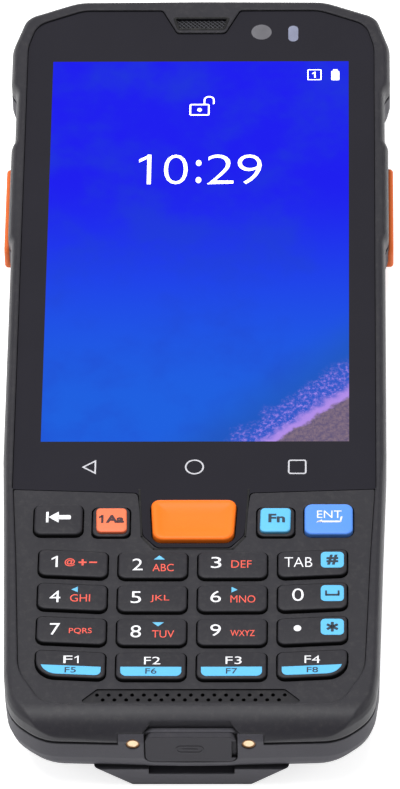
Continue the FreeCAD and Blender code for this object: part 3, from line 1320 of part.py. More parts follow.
def all_pieces():
    """Every piece by its node name, in the frame of the screen."""
    pieces = {
        "front_frame": front_frame(),
        "front_glass": front_glass(),
        "display_panel": display_panel(),
        "keypad_panel": keypad_panel(),
        "speaker_grille": speaker_grille(),
        "loudspeaker": loudspeaker(),
        "earpiece_mesh": earpiece_mesh(),
        "earpiece": earpiece(),
        "front_camera": front_camera(),
        "light_sensor": light_sensor(),
        "keypad_mat": keypad_mat(),
        "keypad_board": keypad_board(),
        "mid_frame": mid_frame(),
        "main_board": main_board(),
        "shield_cans": shield_cans(),
        "card_holder": card_holder(),
        "vibration_motor": vibration_motor(),
        "rear_shell": rear_shell(),
        "port_cover": port_cover(),
        "usb_socket": usb_socket(),
        "charge_contacts": charge_contacts(),
        "scan_window": scan_window(),
        "scan_engine": scan_engine(),
        "rear_camera": rear_camera(),
        "camera_lamp": camera_lamp(),
        "battery_pack": battery_pack(),
        "battery_cover": battery_cover(),
        "battery_seal": battery_seal(),
        "battery_latch": battery_latch(),
        "housing_screws": housing_screws(),
        "trigger_left": side_trigger(-1),
        "trigger_right": side_trigger(1),
        "side_switches": side_switches(),
        "power_key": power_key(),
        "volume_rocker": volume_rocker(),
        "scan_key": scan_key(),
        "back_key": flanged_key(wide_key_corners(-1, 0), WIDE_KEY_PROUD),
        "enter_key": flanged_key(wide_key_corners(1, 0), WIDE_KEY_PROUD),
        "alpha_key": flanged_key(shift_key_corners(-1, 0), SHIFT_KEY_PROUD),
        "fn_key": flanged_key(shift_key_corners(1, 0), SHIFT_KEY_PROUD),
        "alpha_key_cap": shift_cap(-1),
        "fn_key_cap": shift_cap(1),
    }
    for row, names in enumerate(KEY_ROWS):
        for column, name in enumerate(names):
            pieces[name] = flanged_key(grid_key_corners(column, row, 0), KEY_PROUD)
    return pieces


for node, piece in all_pieces().items():
    piece.translate(PLACE)
    piece.exportStep("parts/" + node + ".step")
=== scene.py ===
"""Looks of a portable barcode data terminal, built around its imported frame."""

import json
import logging
import math
from contextlib import contextmanager
from dataclasses import dataclass, field
from enum import Enum
from typing import Callable, Iterator, Optional, Sequence

import bmesh
import bpy
from mathutils import Matrix, Vector

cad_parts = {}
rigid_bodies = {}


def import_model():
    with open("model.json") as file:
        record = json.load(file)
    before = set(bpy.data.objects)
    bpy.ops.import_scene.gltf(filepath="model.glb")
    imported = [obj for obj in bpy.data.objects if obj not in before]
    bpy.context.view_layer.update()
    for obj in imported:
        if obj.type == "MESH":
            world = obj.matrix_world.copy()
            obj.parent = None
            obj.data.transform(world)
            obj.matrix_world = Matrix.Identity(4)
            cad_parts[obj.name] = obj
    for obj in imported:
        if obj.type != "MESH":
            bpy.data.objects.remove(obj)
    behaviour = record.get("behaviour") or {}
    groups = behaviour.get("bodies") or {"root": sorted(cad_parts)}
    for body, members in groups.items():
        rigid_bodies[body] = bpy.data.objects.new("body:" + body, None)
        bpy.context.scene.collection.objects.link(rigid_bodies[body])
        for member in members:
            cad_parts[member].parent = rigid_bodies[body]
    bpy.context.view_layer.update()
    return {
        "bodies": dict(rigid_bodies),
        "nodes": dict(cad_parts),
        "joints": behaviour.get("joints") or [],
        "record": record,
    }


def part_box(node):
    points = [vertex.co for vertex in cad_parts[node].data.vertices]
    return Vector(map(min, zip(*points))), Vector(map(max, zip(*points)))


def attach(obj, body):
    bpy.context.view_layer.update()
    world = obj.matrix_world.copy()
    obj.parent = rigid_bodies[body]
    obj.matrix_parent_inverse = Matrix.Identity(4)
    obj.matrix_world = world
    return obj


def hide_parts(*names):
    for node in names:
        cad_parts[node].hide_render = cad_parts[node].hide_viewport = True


MM = 0.001
HOUSING = "terminal"
SCREEN_MIDDLE_Y = 23.15
GLASS_FACE_Z = 16.0
LOG = logging.getLogger("terminal")

Corner = tuple[float, float, float]
Test = Callable[[Vector, Vector], bool]


class Element(Enum):
    """What an edit selects."""

    VERT = "VERT"
    EDGE = "EDGE"
    FACE = "FACE"


class Facing(Enum):
    """Which way a flat print or badge faces."""

    UP = "up"
    END = "end"


@dataclass(frozen=True)
class Colour:
    """A colour as a screen shows it, from 0 to 255 in each channel."""

    red: float
    green: float
    blue: float

    def linear(self) -> tuple[float, float, float, float]:
        """The colour as scene-linear light."""
        return (*(self._channel(value / 255) for value in (self.red, self.green, self.blue)), 1.0)

    def scaled(self, share: float) -> "Colour":
        """The same hue, darker or lighter."""
        return Colour(*(min(255.0, value * share) for value in (self.red, self.green, self.blue)))

    @staticmethod
    def _channel(value: float) -> float:
        """One channel from screen to linear."""
        return value / 12.92 if value <= 0.04045 else ((value + 0.055) / 1.055) ** 2.4


def deselect() -> None:
    """Leaves edit mode and selects nothing."""
    if bpy.context.object is not None and bpy.context.object.mode != "OBJECT":
        bpy.ops.object.mode_set(mode="OBJECT")
    bpy.ops.object.select_all(action="DESELECT")


def make_active(piece: bpy.types.Object) -> None:
    """Selects one piece alone and makes it the active one.

    Args:
        piece: The piece.
    """
    deselect()
    piece.select_set(True)
    bpy.context.view_layer.objects.active = piece


def settle(piece: bpy.types.Object) -> bpy.types.Object:
    """Puts a piece's place into its mesh, so that its object sits at the origin.

    Args:
        piece: The piece.

    Returns:
        The same piece.
    """
    make_active(piece)
    bpy.ops.object.transform_apply(location=True, rotation=True, scale=True)
    return piece


@contextmanager
def editing(piece: bpy.types.Object, element: Element) -> Iterator[None]:
    """Edit mode on one piece, with nothing selected at first.

    Args:
        piece: The mesh to edit.
        element: What its selections pick.

    Returns:
        Nothing, while the edit is open.
    """
    make_active(piece)
    bpy.ops.object.mode_set(mode="EDIT")
    bpy.ops.mesh.select_mode(type=element.value)
    bpy.ops.mesh.select_all(action="DESELECT")
    yield
    bpy.ops.object.mode_set(mode="OBJECT")


def pick(element: Element, test: Test) -> int:
    """Selects the elements that a test passes, and nothing else.

    Args:
        element: The kind to look at, which is the edit's own.
        test: Takes an element's middle in millimetres and its normal or direction.

    Returns:
        How many were selected.
    """
    mesh = bmesh.from_edit_mesh(bpy.context.edit_object.data)
    bpy.ops.mesh.select_all(action="DESELECT")
    if element is Element.VERT:
        chosen = [v for v in mesh.verts if test(v.co / MM, v.normal)]
    elif element is Element.EDGE:
        chosen = [e for e in mesh.edges if test(edge_middle(e), edge_direction(e))]
    else:
        chosen = [f for f in mesh.faces if test(f.calc_center_median() / MM, f.normal)]
    for item in chosen:
        item.select_set(True)
    mesh.select_flush_mode()
    bmesh.update_edit_mesh(bpy.context.edit_object.data)
    return len(chosen)


def edge_middle(edge: bmesh.types.BMEdge) -> Vector:
    """The middle of an edge in millimetres."""
    return (edge.verts[0].co + edge.verts[1].co) / 2 / MM


def edge_direction(edge: bmesh.types.BMEdge) -> Vector:
    """The direction of an edge."""
    return (edge.verts[1].co - edge.verts[0].co).normalized()


def shift(x: float, y: float, z: float) -> None:
    """Moves what is selected, in millimetres."""
    bpy.ops.transform.translate(value=(x * MM, y * MM, z * MM))


def smooth(piece: bpy.types.Object, degrees: float = 32.0) -> None:
    """Shades a piece smooth below an angle."""
    make_active(piece)
    bpy.ops.object.shade_smooth_by_angle(angle=math.radians(degrees))


def block(name: str, low: Vector, high: Vector) -> bpy.types.Object:
    """A block between two corners in millimetres, as the start of a piece.

    Args:
        name: The piece's name.
        low: Its lowest corner.
        high: Its highest corner.

    Returns:
        The block.
    """
    deselect()
    middle = (low + high) / 2 * MM
    bpy.ops.mesh.primitive_cube_add(size=1, location=middle, scale=(high - low) * MM)
    return named(name)


def named(name: str) -> bpy.types.Object:
    """Names the new primitive and settles it.

    Args:
        name: The piece's name.

    Returns:
        The piece, with its place in its mesh.
    """
    piece = bpy.context.active_object
    piece.name = name
    piece.data.name = name
    return settle(piece)


def bevel(width: float, segments: int) -> None:
    """Rounds the selected edges, with the width in millimetres."""
    bpy.ops.mesh.bevel(offset=width * MM, offset_type="OFFSET", segments=segments, profile=0.5,
                       affect="EDGES", clamp_overlap=True)


def thicken(height: float) -> None:
    """Raises the flat faces being edited into a slab, with the height in millimetres.

    Args:
        height: How far they rise.
    """
    bpy.ops.mesh.select_all(action="SELECT")
    bpy.ops.mesh.extrude_region_move(TRANSFORM_OT_translate={"value": (0, 0, height * MM)})
    bpy.ops.mesh.select_all(action="SELECT")
    bpy.ops.mesh.normals_make_consistent(inside=False)


def trim(x: float, y: float, out_x: float, out_y: float) -> None:
    """Cuts what is being edited by an upright plane, and closes the cut.

    Args:
        x: A place on the plane across, in millimetres.
        y: Its place along.
        out_x: Way across to the side that goes.
        out_y: Way along.
    """
    bpy.ops.mesh.select_all(action="SELECT")
    bpy.ops.mesh.bisect(plane_co=(x * MM, y * MM, 0), plane_no=(out_x, out_y, 0), use_fill=True,
                        clear_outer=True)


def box_of(node: str) -> tuple[Vector, Vector]:
    """The lowest and highest corner of a solid's box, in millimetres."""
    low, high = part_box(node)
    return low / MM, high / MM


def shape_plan(corners: Sequence[Corner], middle: Vector) -> None:
    """Moves the four corners of a block or plate and rounds them.

    Args:
        corners: Each (x, y, radius) in millimetres, from low left anticlockwise.
        middle: The middle of the block, which tells its corners apart.
    """
    sides = ((-1, -1), (1, -1), (1, 1), (-1, 1))
    for (x, y, radius), (side_x, side_y) in zip(corners, sides):
        if pick(Element.VERT, lambda co, _normal, side_x=side_x, side_y=side_y:
                (co.x - middle.x) * side_x > 0 and (co.y - middle.y) * side_y > 0):
            mesh = bmesh.from_edit_mesh(bpy.context.edit_object.data)
            place = next(v.co.copy() for v in mesh.verts if v.select) / MM
            shift(x - place.x, y - place.y, 0)


def plate(name: str, corners: Sequence[Corner], low: float, high: float,
          segments: int = 5) -> bpy.types.Object:
    """A flat four-cornered plate with rounded corners.

    Args:
        name: The piece's name.
        corners: Each (x, y, radius) in millimetres, from low left anticlockwise.
        low: Height of the lower face in millimetres.
        high: Height of the upper face in millimetres.
        segments: Facets in each rounded corner.

    Returns:
        The plate, with its place in its mesh.
    """
    xs = [corner[0] for corner in corners]
    ys = [corner[1] for corner in corners]
    middle = Vector(((min(xs) + max(xs)) / 2, (min(ys) + max(ys)) / 2, (low + high) / 2))
    reach = Vector(((max(xs) - min(xs)) / 2, (max(ys) - min(ys)) / 2, (high - low) / 2))
    piece = block(name, middle - reach, middle + reach)
    with editing(piece, Element.VERT):
        shape_plan(corners, middle)
    with editing(piece, Element.EDGE):
        for x, y, radius in corners:
            if radius <= 0:
                continue
            picked = pick(Element.EDGE, lambda co, way, x=x, y=y: abs(way.z) > 0.99
                          and (co.xy - Vector((x, y))).length < 0.02)
            if picked:
                bevel(radius, segments)
    return piece


def rectangle(x: float, y: float, width: float, height: float, radius: float) -> list[Corner]:
    """The corners of a rectangle about a middle.

    Args:
        x: Middle across, in millimetres.
        y: Middle along.
        width: Size across.
        height: Size along.
        radius: Radius of every corner.

    Returns:
        The corners, from low left anticlockwise.
    """
    half_x, half_y = width / 2, height / 2
    return [(x - half_x, y - half_y, radius), (x + half_x, y - half_y, radius),
            (x + half_x, y + half_y, radius), (x - half_x, y + half_y, radius)]


def ring(name: str, x: float, y: float, outer: float, inner: float, low: float, high: float,
         facets: int = 40) -> bpy.types.Object:
    """A flat ring, drawn as a disc, inset, opened and raised.

    Args:
        name: The piece's name.
        x: Middle across, in millimetres.
        y: Middle along, in millimetres.
        outer: Outer radius.
        inner: Inner radius, or 0 for a full disc.
        low: Lower face.
        high: Upper face.
        facets: Corners round the rim.

    Returns:
        The ring.
    """
    deselect()
    bpy.ops.mesh.primitive_circle_add(vertices=facets, radius=outer * MM, fill_type="NGON",
                                      location=(x * MM, y * MM, low * MM))
    piece = named(name)
    with editing(piece, Element.FACE):
        bpy.ops.mesh.select_all(action="SELECT")
        if inner > 0:
            bpy.ops.mesh.inset(thickness=(outer - inner) * MM)
            bpy.ops.mesh.delete(type="FACE")
        thicken(high - low)
    return piece


def triangle(name: str, turn: float, width: float, height: float,
             thickness: float) -> bpy.types.Object:
    """A flat triangle about the origin.

    Args:
        name: The piece's name.
        turn: Which way its tip points, in degrees from straight up.
        width: Width in millimetres.
        height: Height in millimetres.
        thickness: Thickness in millimetres.

    Returns:
        The triangle.
    """
    deselect()
    bpy.ops.mesh.primitive_circle_add(vertices=3, radius=MM, fill_type="NGON")
    piece = named(name)
    with editing(piece, Element.FACE):
        thicken(1)
    piece.data.transform(Matrix.Rotation(math.radians(turn), 4, "Z"))
    fit(piece, width, height, thickness)
    return piece


def frame_ring(name: str, corners: Sequence[Corner], width: float, low: float,
               high: float) -> bpy.types.Object:
    """A flat four-cornered ring of even width.

    Args:
        name: The piece's name.
        corners: The outer corners, from low left anticlockwise.
        width: How wide the ring is, in millimetres.
        low: Height of the lower face.
        high: Height of the upper face.

    Returns:
        The ring.
    """
    piece = plate(name, corners, low, high)
    with editing(piece, Element.FACE):
        pick(Element.FACE, lambda co, normal: abs(normal.z) > 0.9)
        bpy.ops.mesh.inset(thickness=width * MM)
        bpy.ops.mesh.bridge_edge_loops()
    return piece


def figure_one(name: str, width: float, height: float, thickness: float,
               stroke: float) -> bpy.types.Object:
    """The figure one with a slanted flag, about the origin.

    Args:
        name: The piece's name.
        width: Width in millimetres.
        height: Height in millimetres.
        thickness: Thickness in millimetres.
        stroke: Width of its stem.

    Returns:
        The figure.
    """
    low, high = -thickness / 2, thickness / 2
    stem = plate("stem", rectangle(width / 2 - stroke / 2, 0, stroke, height, 0), low, high)
    reach = width - stroke / 2
    flag = plate("flag", rectangle(-stroke / 4, 0, reach, stroke, 0), low, high)
    slope = 0.62
    lean = Matrix.Identity(4)
    lean[1][0] = slope
    lean[1][3] = (height / 2 - stroke / 2 - slope * (width - stroke) / 2) * MM
    flag.data.transform(lean)
    return join(name, [stem, flag])


def words(name: str, text: str, width: float, height: float, thickness: float,
          weight: float = 0.0, stroke_share: float = 0.2) -> bpy.types.Object:
    """Generic lettering about the origin, with the figure one drawn by hand.

    Args:
        name: The piece's name.
        text: What it says.
        width: Width of the inked part in millimetres.
        height: Height of the inked part in millimetres.
        thickness: Thickness in millimetres.
        weight: How far the strokes are fattened, in font units.
        stroke_share: Stem of a figure one, as a share of its height.

    Returns:
        The lettering, centred on the origin, facing up.
    """
    stroke = stroke_share * height
    if text == "1":
        return figure_one(name, width, height, thickness, stroke)
    if "1" not in text:
        return typeset(name, text, width, height, thickness, weight)
    one_width = 0.44 * height
    rest_width = width - one_width - 0.2 * height
    side = 1 if text.endswith("1") else -1
    one = figure_one("one", one_width, height, thickness, stroke)
    one.data.transform(Matrix.Translation((side * (width - one_width) / 2 * MM, 0, 0)))
    rest = typeset("rest", text.replace("1", ""), rest_width, height, thickness, weight)
    rest.data.transform(Matrix.Translation((-side * (width - rest_width) / 2 * MM, 0, 0)))
    return join(name, [rest, one])


def typeset(name: str, text: str, width: float, height: float, thickness: float,
            weight: float) -> bpy.types.Object:
    """Lettering in the plain type as a thin mesh about the origin.

    Args:
        name: The piece's name.
        text: What it says.
        width: Width of the inked part in millimetres.
        height: Height of the inked part in millimetres.
        thickness: Thickness in millimetres.
        weight: How far the strokes are fattened, in font units.

    Returns:
        The lettering, centred on the origin, facing up.
    """
    deselect()
    bpy.ops.object.text_add(location=(0, 0, 0))
    piece = bpy.context.active_object
    piece.name = name
    piece.data.body = text
    piece.data.offset = weight
    piece.data.resolution_u = 4
    piece.data.extrude = 0.5
    bpy.ops.object.convert(target="MESH")
    piece = bpy.context.active_object
    piece.data.name = name
    fit(piece, width, height, thickness)
    with editing(piece, Element.VERT):
        bpy.ops.mesh.select_all(action="SELECT")
        bpy.ops.mesh.remove_doubles(threshold=0.002 * MM)
    return piece


def fit(piece: bpy.types.Object, width: float, height: float, thickness: float) -> None:
    """Centres a mesh on the origin and scales it to a size in millimetres.

    Args:
        piece: The mesh.
        width: Size across.
        height: Size along.
        thickness: Size in height, or 0 for a mesh that is flat and stays so.
    """
    low = Vector([min(v.co[i] for v in piece.data.vertices) for i in range(3)])
    high = Vector([max(v.co[i] for v in piece.data.vertices) for i in range(3)])
    size = high - low
    wanted = Vector((width, height, thickness)) * MM
    scale = Matrix.Diagonal([wanted[i] / size[i] if wanted[i] else 1 for i in range(3)] + [1])
    piece.data.transform(scale @ Matrix.Translation(-(low + high) / 2))


def lay(piece: bpy.types.Object, x: float, y: float, z: float, slope: float = 0.0,
        facing: Facing = Facing.UP) -> bpy.types.Object:
    """Lays a mesh made about the origin on a face.

    Args:
        piece: The mesh.
        x: Place across in millimetres.
        y: Place along in millimetres.
        z: Height in millimetres.
        slope: Rise of the face along Y.
        facing: Which way its front looks.

    Returns:
        The piece.
    """
    if facing is Facing.END:
        piece.data.transform(Matrix.Rotation(math.pi / 2, 4, "X"))
    tilt = Matrix.Identity(4)
    tilt[2][1] = slope
    piece.data.transform(Matrix.Translation(Vector((x, y, z)) * MM) @ tilt)
    return piece


def join(name: str, parts: Sequence[bpy.types.Object]) -> bpy.types.Object:
    """Joins several meshes into one piece.

    Args:
        name: Name of the joined piece.
        parts: What it is made of.

    Returns:
        The joined piece.
    """
    deselect()
    for part in parts:
        part.select_set(True)
    bpy.context.view_layer.objects.active = parts[0]
    if len(parts) > 1:
        bpy.ops.object.join()
    piece = bpy.context.active_object
    piece.name = name
    piece.data.name = name
    return piece


def wear(piece: bpy.types.Object, finish: bpy.types.Material) -> None:
    """Gives every face of a piece one finish.

    Args:
        piece: The piece.
        finish: Its material.
    """
    if not piece.material_slots:
        piece.data.materials.append(finish)
    for slot in piece.material_slots:
        slot.material = finish


def dress(piece: bpy.types.Object, finish: bpy.types.Material, body: str,
          replaces: Sequence[str] = ()) -> bpy.types.Object:
    """Gives a finished piece its finish and fixes it to its body.

    Args:
        piece: The piece.
        finish: Its material.
        body: The body that carries it.
        replaces: CAD nodes that it stands for.

    Returns:
        The piece.
    """
    wear(piece, finish)
    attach(piece, body)
    if replaces:
        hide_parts(*replaces)
    LOG.info("%s rides on %s", piece.name, body)
    return piece


class NodeSheet:
    """Lays shader nodes in one tree and joins their sockets."""

    def __init__(self, tree: bpy.types.NodeTree) -> None:
        """Starts with an empty tree."""
        self.tree = tree
        self.tree.nodes.clear()

    def put(self, kind: str, inputs: Optional[dict] = None, **settings: object) -> bpy.types.Node:
        """Adds a node.

        Args:
            kind: Blender's name for the node.
            inputs: Input name or index to a socket to join or a value to set.
            settings: Properties of the node.

        Returns:
            The node.
        """
        node = self.tree.nodes.new(kind)
        for name, value in settings.items():
            setattr(node, name, value)
        for key, value in (inputs or {}).items():
            if isinstance(value, bpy.types.NodeSocket):
                self.tree.links.new(value, node.inputs[key])
            else:
                node.inputs[key].default_value = value
        return node

    def math(self, operation: str, first: object, second: object = 0.0,
             clamp: bool = False) -> bpy.types.NodeSocket:
        """The result of one sum on two values."""
        node = self.put("ShaderNodeMath", {0: first, 1: second}, operation=operation, use_clamp=clamp)
        return node.outputs[0]

    def mix(self, share: object, first: object, second: object) -> bpy.types.NodeSocket:
        """A colour between two colours."""
        node = self.put("ShaderNodeMix", {0: share, 6: first, 7: second}, data_type="RGBA")
        return node.outputs[2]

    def step(self, value: object, low: float, high: float, to_low: float = 0.0,
             to_high: float = 1.0) -> bpy.types.NodeSocket:
        """A value that runs smoothly between two limits.

        Args:
            value: What runs.
            low: Where it starts.
            high: Where it ends.
            to_low: Result at the start.
            to_high: Result at the end.

        Returns:
            The result.
        """
        node = self.put("ShaderNodeMapRange", {"Value": value, "From Min": low, "From Max": high,
                                               "To Min": to_low, "To Max": to_high},
                        interpolation_type="SMOOTHSTEP")
        return node.outputs[0]

    def surface(self, inputs: dict) -> bpy.types.Node:
        """The main shader with its inputs, joined to the material's output.

        Args:
            inputs: Input name to a socket to join or a value to set.

        Returns:
            The shader's node.
        """
        shader = self.put("ShaderNodeBsdfPrincipled", inputs)
        self.put("ShaderNodeOutputMaterial", {"Surface": shader.outputs[0]})
        return shader

    def place(self) -> bpy.types.NodeSocket:
        """The object coordinates."""
        return self.put("ShaderNodeTexCoord").outputs["Object"]

    def noise(self, size: object, detail: float = 2.0, rough: float = 0.5) -> bpy.types.NodeSocket:
        """Noise from 0 to 1 on object coordinates, with a scale per metre.

        Args:
            size: Scale of the noise.
            detail: How many finer layers it has.
            rough: How strong they are.

        Returns:
            The noise.
        """
        node = self.put("ShaderNodeTexNoise", {"Vector": self.place(), "Scale": size,
                                               "Detail": detail, "Roughness": rough})
        return node.outputs["Fac"]


def new_material(name: str) -> tuple[bpy.types.Material, NodeSheet]:
    """A material with an empty sheet.

    Args:
        name: Its name.

    Returns:
        The material and its sheet.
    """
    made = bpy.data.materials.new(name)
    made.use_nodes = True
    return made, NodeSheet(made.node_tree)


def new_group(name: str, inputs: Sequence[tuple[str, float]],
              outputs: Sequence[tuple[str, str]]) -> tuple[bpy.types.NodeTree, NodeSheet,
                                                           bpy.types.Node, bpy.types.Node]:
    """A shader node group with number inputs.

    Args:
        name: The group's name.
        inputs: Name and usual value of each input.
        outputs: Name and socket type of each output.

    Returns:
        The group, its sheet, its input node and its output node.
    """
    tree = bpy.data.node_groups.new(name, "ShaderNodeTree")
    for label, value in inputs:
        socket = tree.interface.new_socket(name=label, in_out="INPUT", socket_type="NodeSocketFloat")
        socket.default_value = value
    for label, kind in outputs:
        tree.interface.new_socket(name=label, in_out="OUTPUT", socket_type=kind)
    sheet = NodeSheet(tree)
    return tree, sheet, sheet.put("NodeGroupInput"), sheet.put("NodeGroupOutput")


class Effects:
    """The shared effects, each a node group that is built once."""

    def __init__(self) -> None:
        """Builds every effect."""
        self.grain = self._grain()
        self.polish = self._polish()
        self.dust = self._dust()
        self.shade = self._shade()

    @staticmethod
    def _grain() -> bpy.types.NodeTree:
        """Spark-eroded grain: a height and a slow mottle.

        Returns:
            The group.
        """
        tree, sheet, entry, leave = new_group(
            "moulded_grain", [("Grain Scale", 5000.0), ("Mottle Scale", 60.0)],
            [("Height", "NodeSocketFloat"), ("Mottle", "NodeSocketFloat")])
        fine = sheet.noise(entry.outputs["Grain Scale"], 3.0, 0.6)
        slow = sheet.noise(entry.outputs["Mottle Scale"], 4.0, 0.55)
        speck = sheet.step(fine, 0.35, 0.7)
        mottle = sheet.math("ADD", sheet.math("MULTIPLY", slow, 0.7), sheet.math("MULTIPLY", speck, 0.3))
        sheet.tree.links.new(fine, leave.inputs["Height"])
        sheet.tree.links.new(mottle, leave.inputs["Mottle"])
        return tree

    @staticmethod
    def _polish() -> bpy.types.NodeTree:
        """Edges rubbed smooth by hands: a mask and a softened normal.

        Returns:
            The group.
        """
        tree, sheet, entry, leave = new_group(
            "rubbed_edges", [("Reach", 0.0002), ("Amount", 0.5)],
            [("Mask", "NodeSocketFloat"), ("Normal", "NodeSocketVector")])
        soft = sheet.put("ShaderNodeBevel", {"Radius": entry.outputs["Reach"]}, samples=4)
        true = sheet.put("ShaderNodeNewGeometry")
        dot = sheet.put("ShaderNodeVectorMath",
                        {0: soft.outputs["Normal"], 1: true.outputs["True Normal"]},
                        operation="DOT_PRODUCT")
        turn = sheet.step(dot.outputs["Value"], 0.998, 0.86)
        patch = sheet.step(sheet.noise(420.0, 4.0, 0.7), 0.3, 0.65)
        mask = sheet.math("MULTIPLY", sheet.math("MULTIPLY", turn, patch), entry.outputs["Amount"])
        sheet.tree.links.new(mask, leave.inputs["Mask"])
        sheet.tree.links.new(soft.outputs["Normal"], leave.inputs["Normal"])
        return tree

    @staticmethod
    def _shade() -> bpy.types.NodeTree:
        """Painted shade: darkening in seams and crevices, found by ambient occlusion, and on faces that
        don't look up.

        Returns:
            The group.
        """
        tree, sheet, entry, leave = new_group(
            "seam_shade", [("Reach", 0.0008), ("Painted Seam Shade", 0.8), ("Painted Side Shade", 0.0)],
            [("Mask", "NodeSocketFloat")])
        # Ambient occlusion picks out seams and crevices, where painted shade darkens the colour.
        hidden = sheet.put("ShaderNodeAmbientOcclusion", {"Distance": entry.outputs["Reach"]},
                           samples=6)
        seam = sheet.step(hidden.outputs["AO"], 0.9, 0.35)
        # Faces that don't look up get painted shade too, such as the near sides of keys.
        normal = sheet.put("ShaderNodeNewGeometry").outputs["Normal"]
        up = sheet.put("ShaderNodeSeparateXYZ", {0: normal}).outputs["Z"]
        side = sheet.step(up, 0.82, 0.35)
        both = sheet.math("MAXIMUM", sheet.math("MULTIPLY", seam, entry.outputs["Painted Seam Shade"]),
                          sheet.math("MULTIPLY", side, entry.outputs["Painted Side Shade"]), True)
        sheet.tree.links.new(both, leave.inputs["Mask"])
        return tree

    @staticmethod
    def _dust() -> bpy.types.NodeTree:
        """A little dust on faces that look up.

        Returns:
            The group.
        """
        tree, sheet, entry, leave = new_group(
            "settled_dust", [("Amount", 0.1)], [("Mask", "NodeSocketFloat")])
        facing = sheet.put("ShaderNodeSeparateXYZ",
                           {0: sheet.put("ShaderNodeNewGeometry").outputs["Normal"]})
        up = sheet.step(facing.outputs["Z"], 0.2, 0.95)
        fleck = sheet.step(sheet.noise(900.0, 5.0, 0.75), 0.45, 0.8)
        mask = sheet.math("MULTIPLY", sheet.math("MULTIPLY", up, fleck), entry.outputs["Amount"])
        sheet.tree.links.new(mask, leave.inputs["Mask"])
        return tree


DUST_COLOUR = Colour(150, 146, 140)


@dataclass(frozen=True)
class Moulded:
    """A moulded plastic, rubber or painted finish with grain, rubbed edges, dust and painted shade in seams
    and on faces that don't look up.
    """

    name: str
    colour: Colour
    roughness: float = 0.55
    grain_scale: float = 5200.0
    grain_depth: float = 0.25
    mottle: float = 0.14
    polish: float = 0.35
    dust: float = 0.05
    rounding: float = 0.18
    metallic: float = 0.0
    specular: float = 0.22
    # Share of painted shade in seams and crevices.
    painted_seam_darkening: float = 0.75
    # Share of painted shade on faces that don't look up, such as the near sides of keys.
    skirt: float = 0.0

    def build(self, effects: Effects) -> bpy.types.Material:
        """Makes the material.

        Args:
            effects: The shared node groups.

        Returns:
            The finished material.
        """
        made, sheet = new_material(self.name)
        grain = sheet.put("ShaderNodeGroup", {"Grain Scale": self.grain_scale}, node_tree=effects.grain)
        rubbed = sheet.put("ShaderNodeGroup", {"Reach": self.rounding * MM, "Amount": self.polish},
                           node_tree=effects.polish)
        dust = sheet.put("ShaderNodeGroup", {"Amount": self.dust}, node_tree=effects.dust)
        low = self.colour.scaled(1 - self.mottle).linear()
        high = self.colour.scaled(1 + self.mottle).linear()
        base = sheet.mix(grain.outputs["Mottle"], low, high)
        base = sheet.mix(rubbed.outputs["Mask"], base, self.colour.scaled(1.35).linear())
        base = sheet.mix(dust.outputs["Mask"], base, DUST_COLOUR.linear())
        # Painted shade: seams, crevices and faces that don't look up are darkened towards a fifth of the
        # colour.
        shade = sheet.put("ShaderNodeGroup", {"Painted Seam Shade": self.painted_seam_darkening, "Painted Side Shade": self.skirt},
                          node_tree=effects.shade)
        base = sheet.mix(shade.outputs["Mask"], base, self.colour.scaled(0.2).linear())
        rough = sheet.math("ADD", sheet.math("MULTIPLY", grain.outputs["Mottle"], 0.16),
                           self.roughness - 0.08)
        rough = sheet.math("SUBTRACT", rough, sheet.math("MULTIPLY", rubbed.outputs["Mask"], 0.2), True)
        bump = sheet.put("ShaderNodeBump", {"Height": grain.outputs["Height"],
                                            "Normal": rubbed.outputs["Normal"],
                                            "Strength": self.grain_depth, "Distance": 0.03 * MM})
        sheet.surface({
            "Base Color": base, "Roughness": rough, "Normal": bump.outputs["Normal"],
            "Metallic": self.metallic, "Specular IOR Level": self.specular})
        return made


@dataclass(frozen=True)
class Ink:
    """A printed colour, slightly uneven."""

    name: str
    colour: Colour
    roughness: float = 0.5
    glow: float = 0.0

    def build(self, _effects: Effects) -> bpy.types.Material:
        """Makes the material.

        Args:
            _effects: The shared node groups, which ink doesn't need.

        Returns:
            The material.
        """
        made, sheet = new_material(self.name)
        tone = sheet.step(sheet.noise(1800.0, 3.0, 0.6), 0.3, 0.7)
        base = sheet.mix(tone, self.colour.scaled(0.93).linear(), self.colour.linear())
        shader = sheet.surface({"Base Color": base, "Roughness": self.roughness})
        if self.glow > 0:
            sheet.tree.links.new(base, shader.inputs["Emission Color"])
            shader.inputs["Emission Strength"].default_value = self.glow
        return made


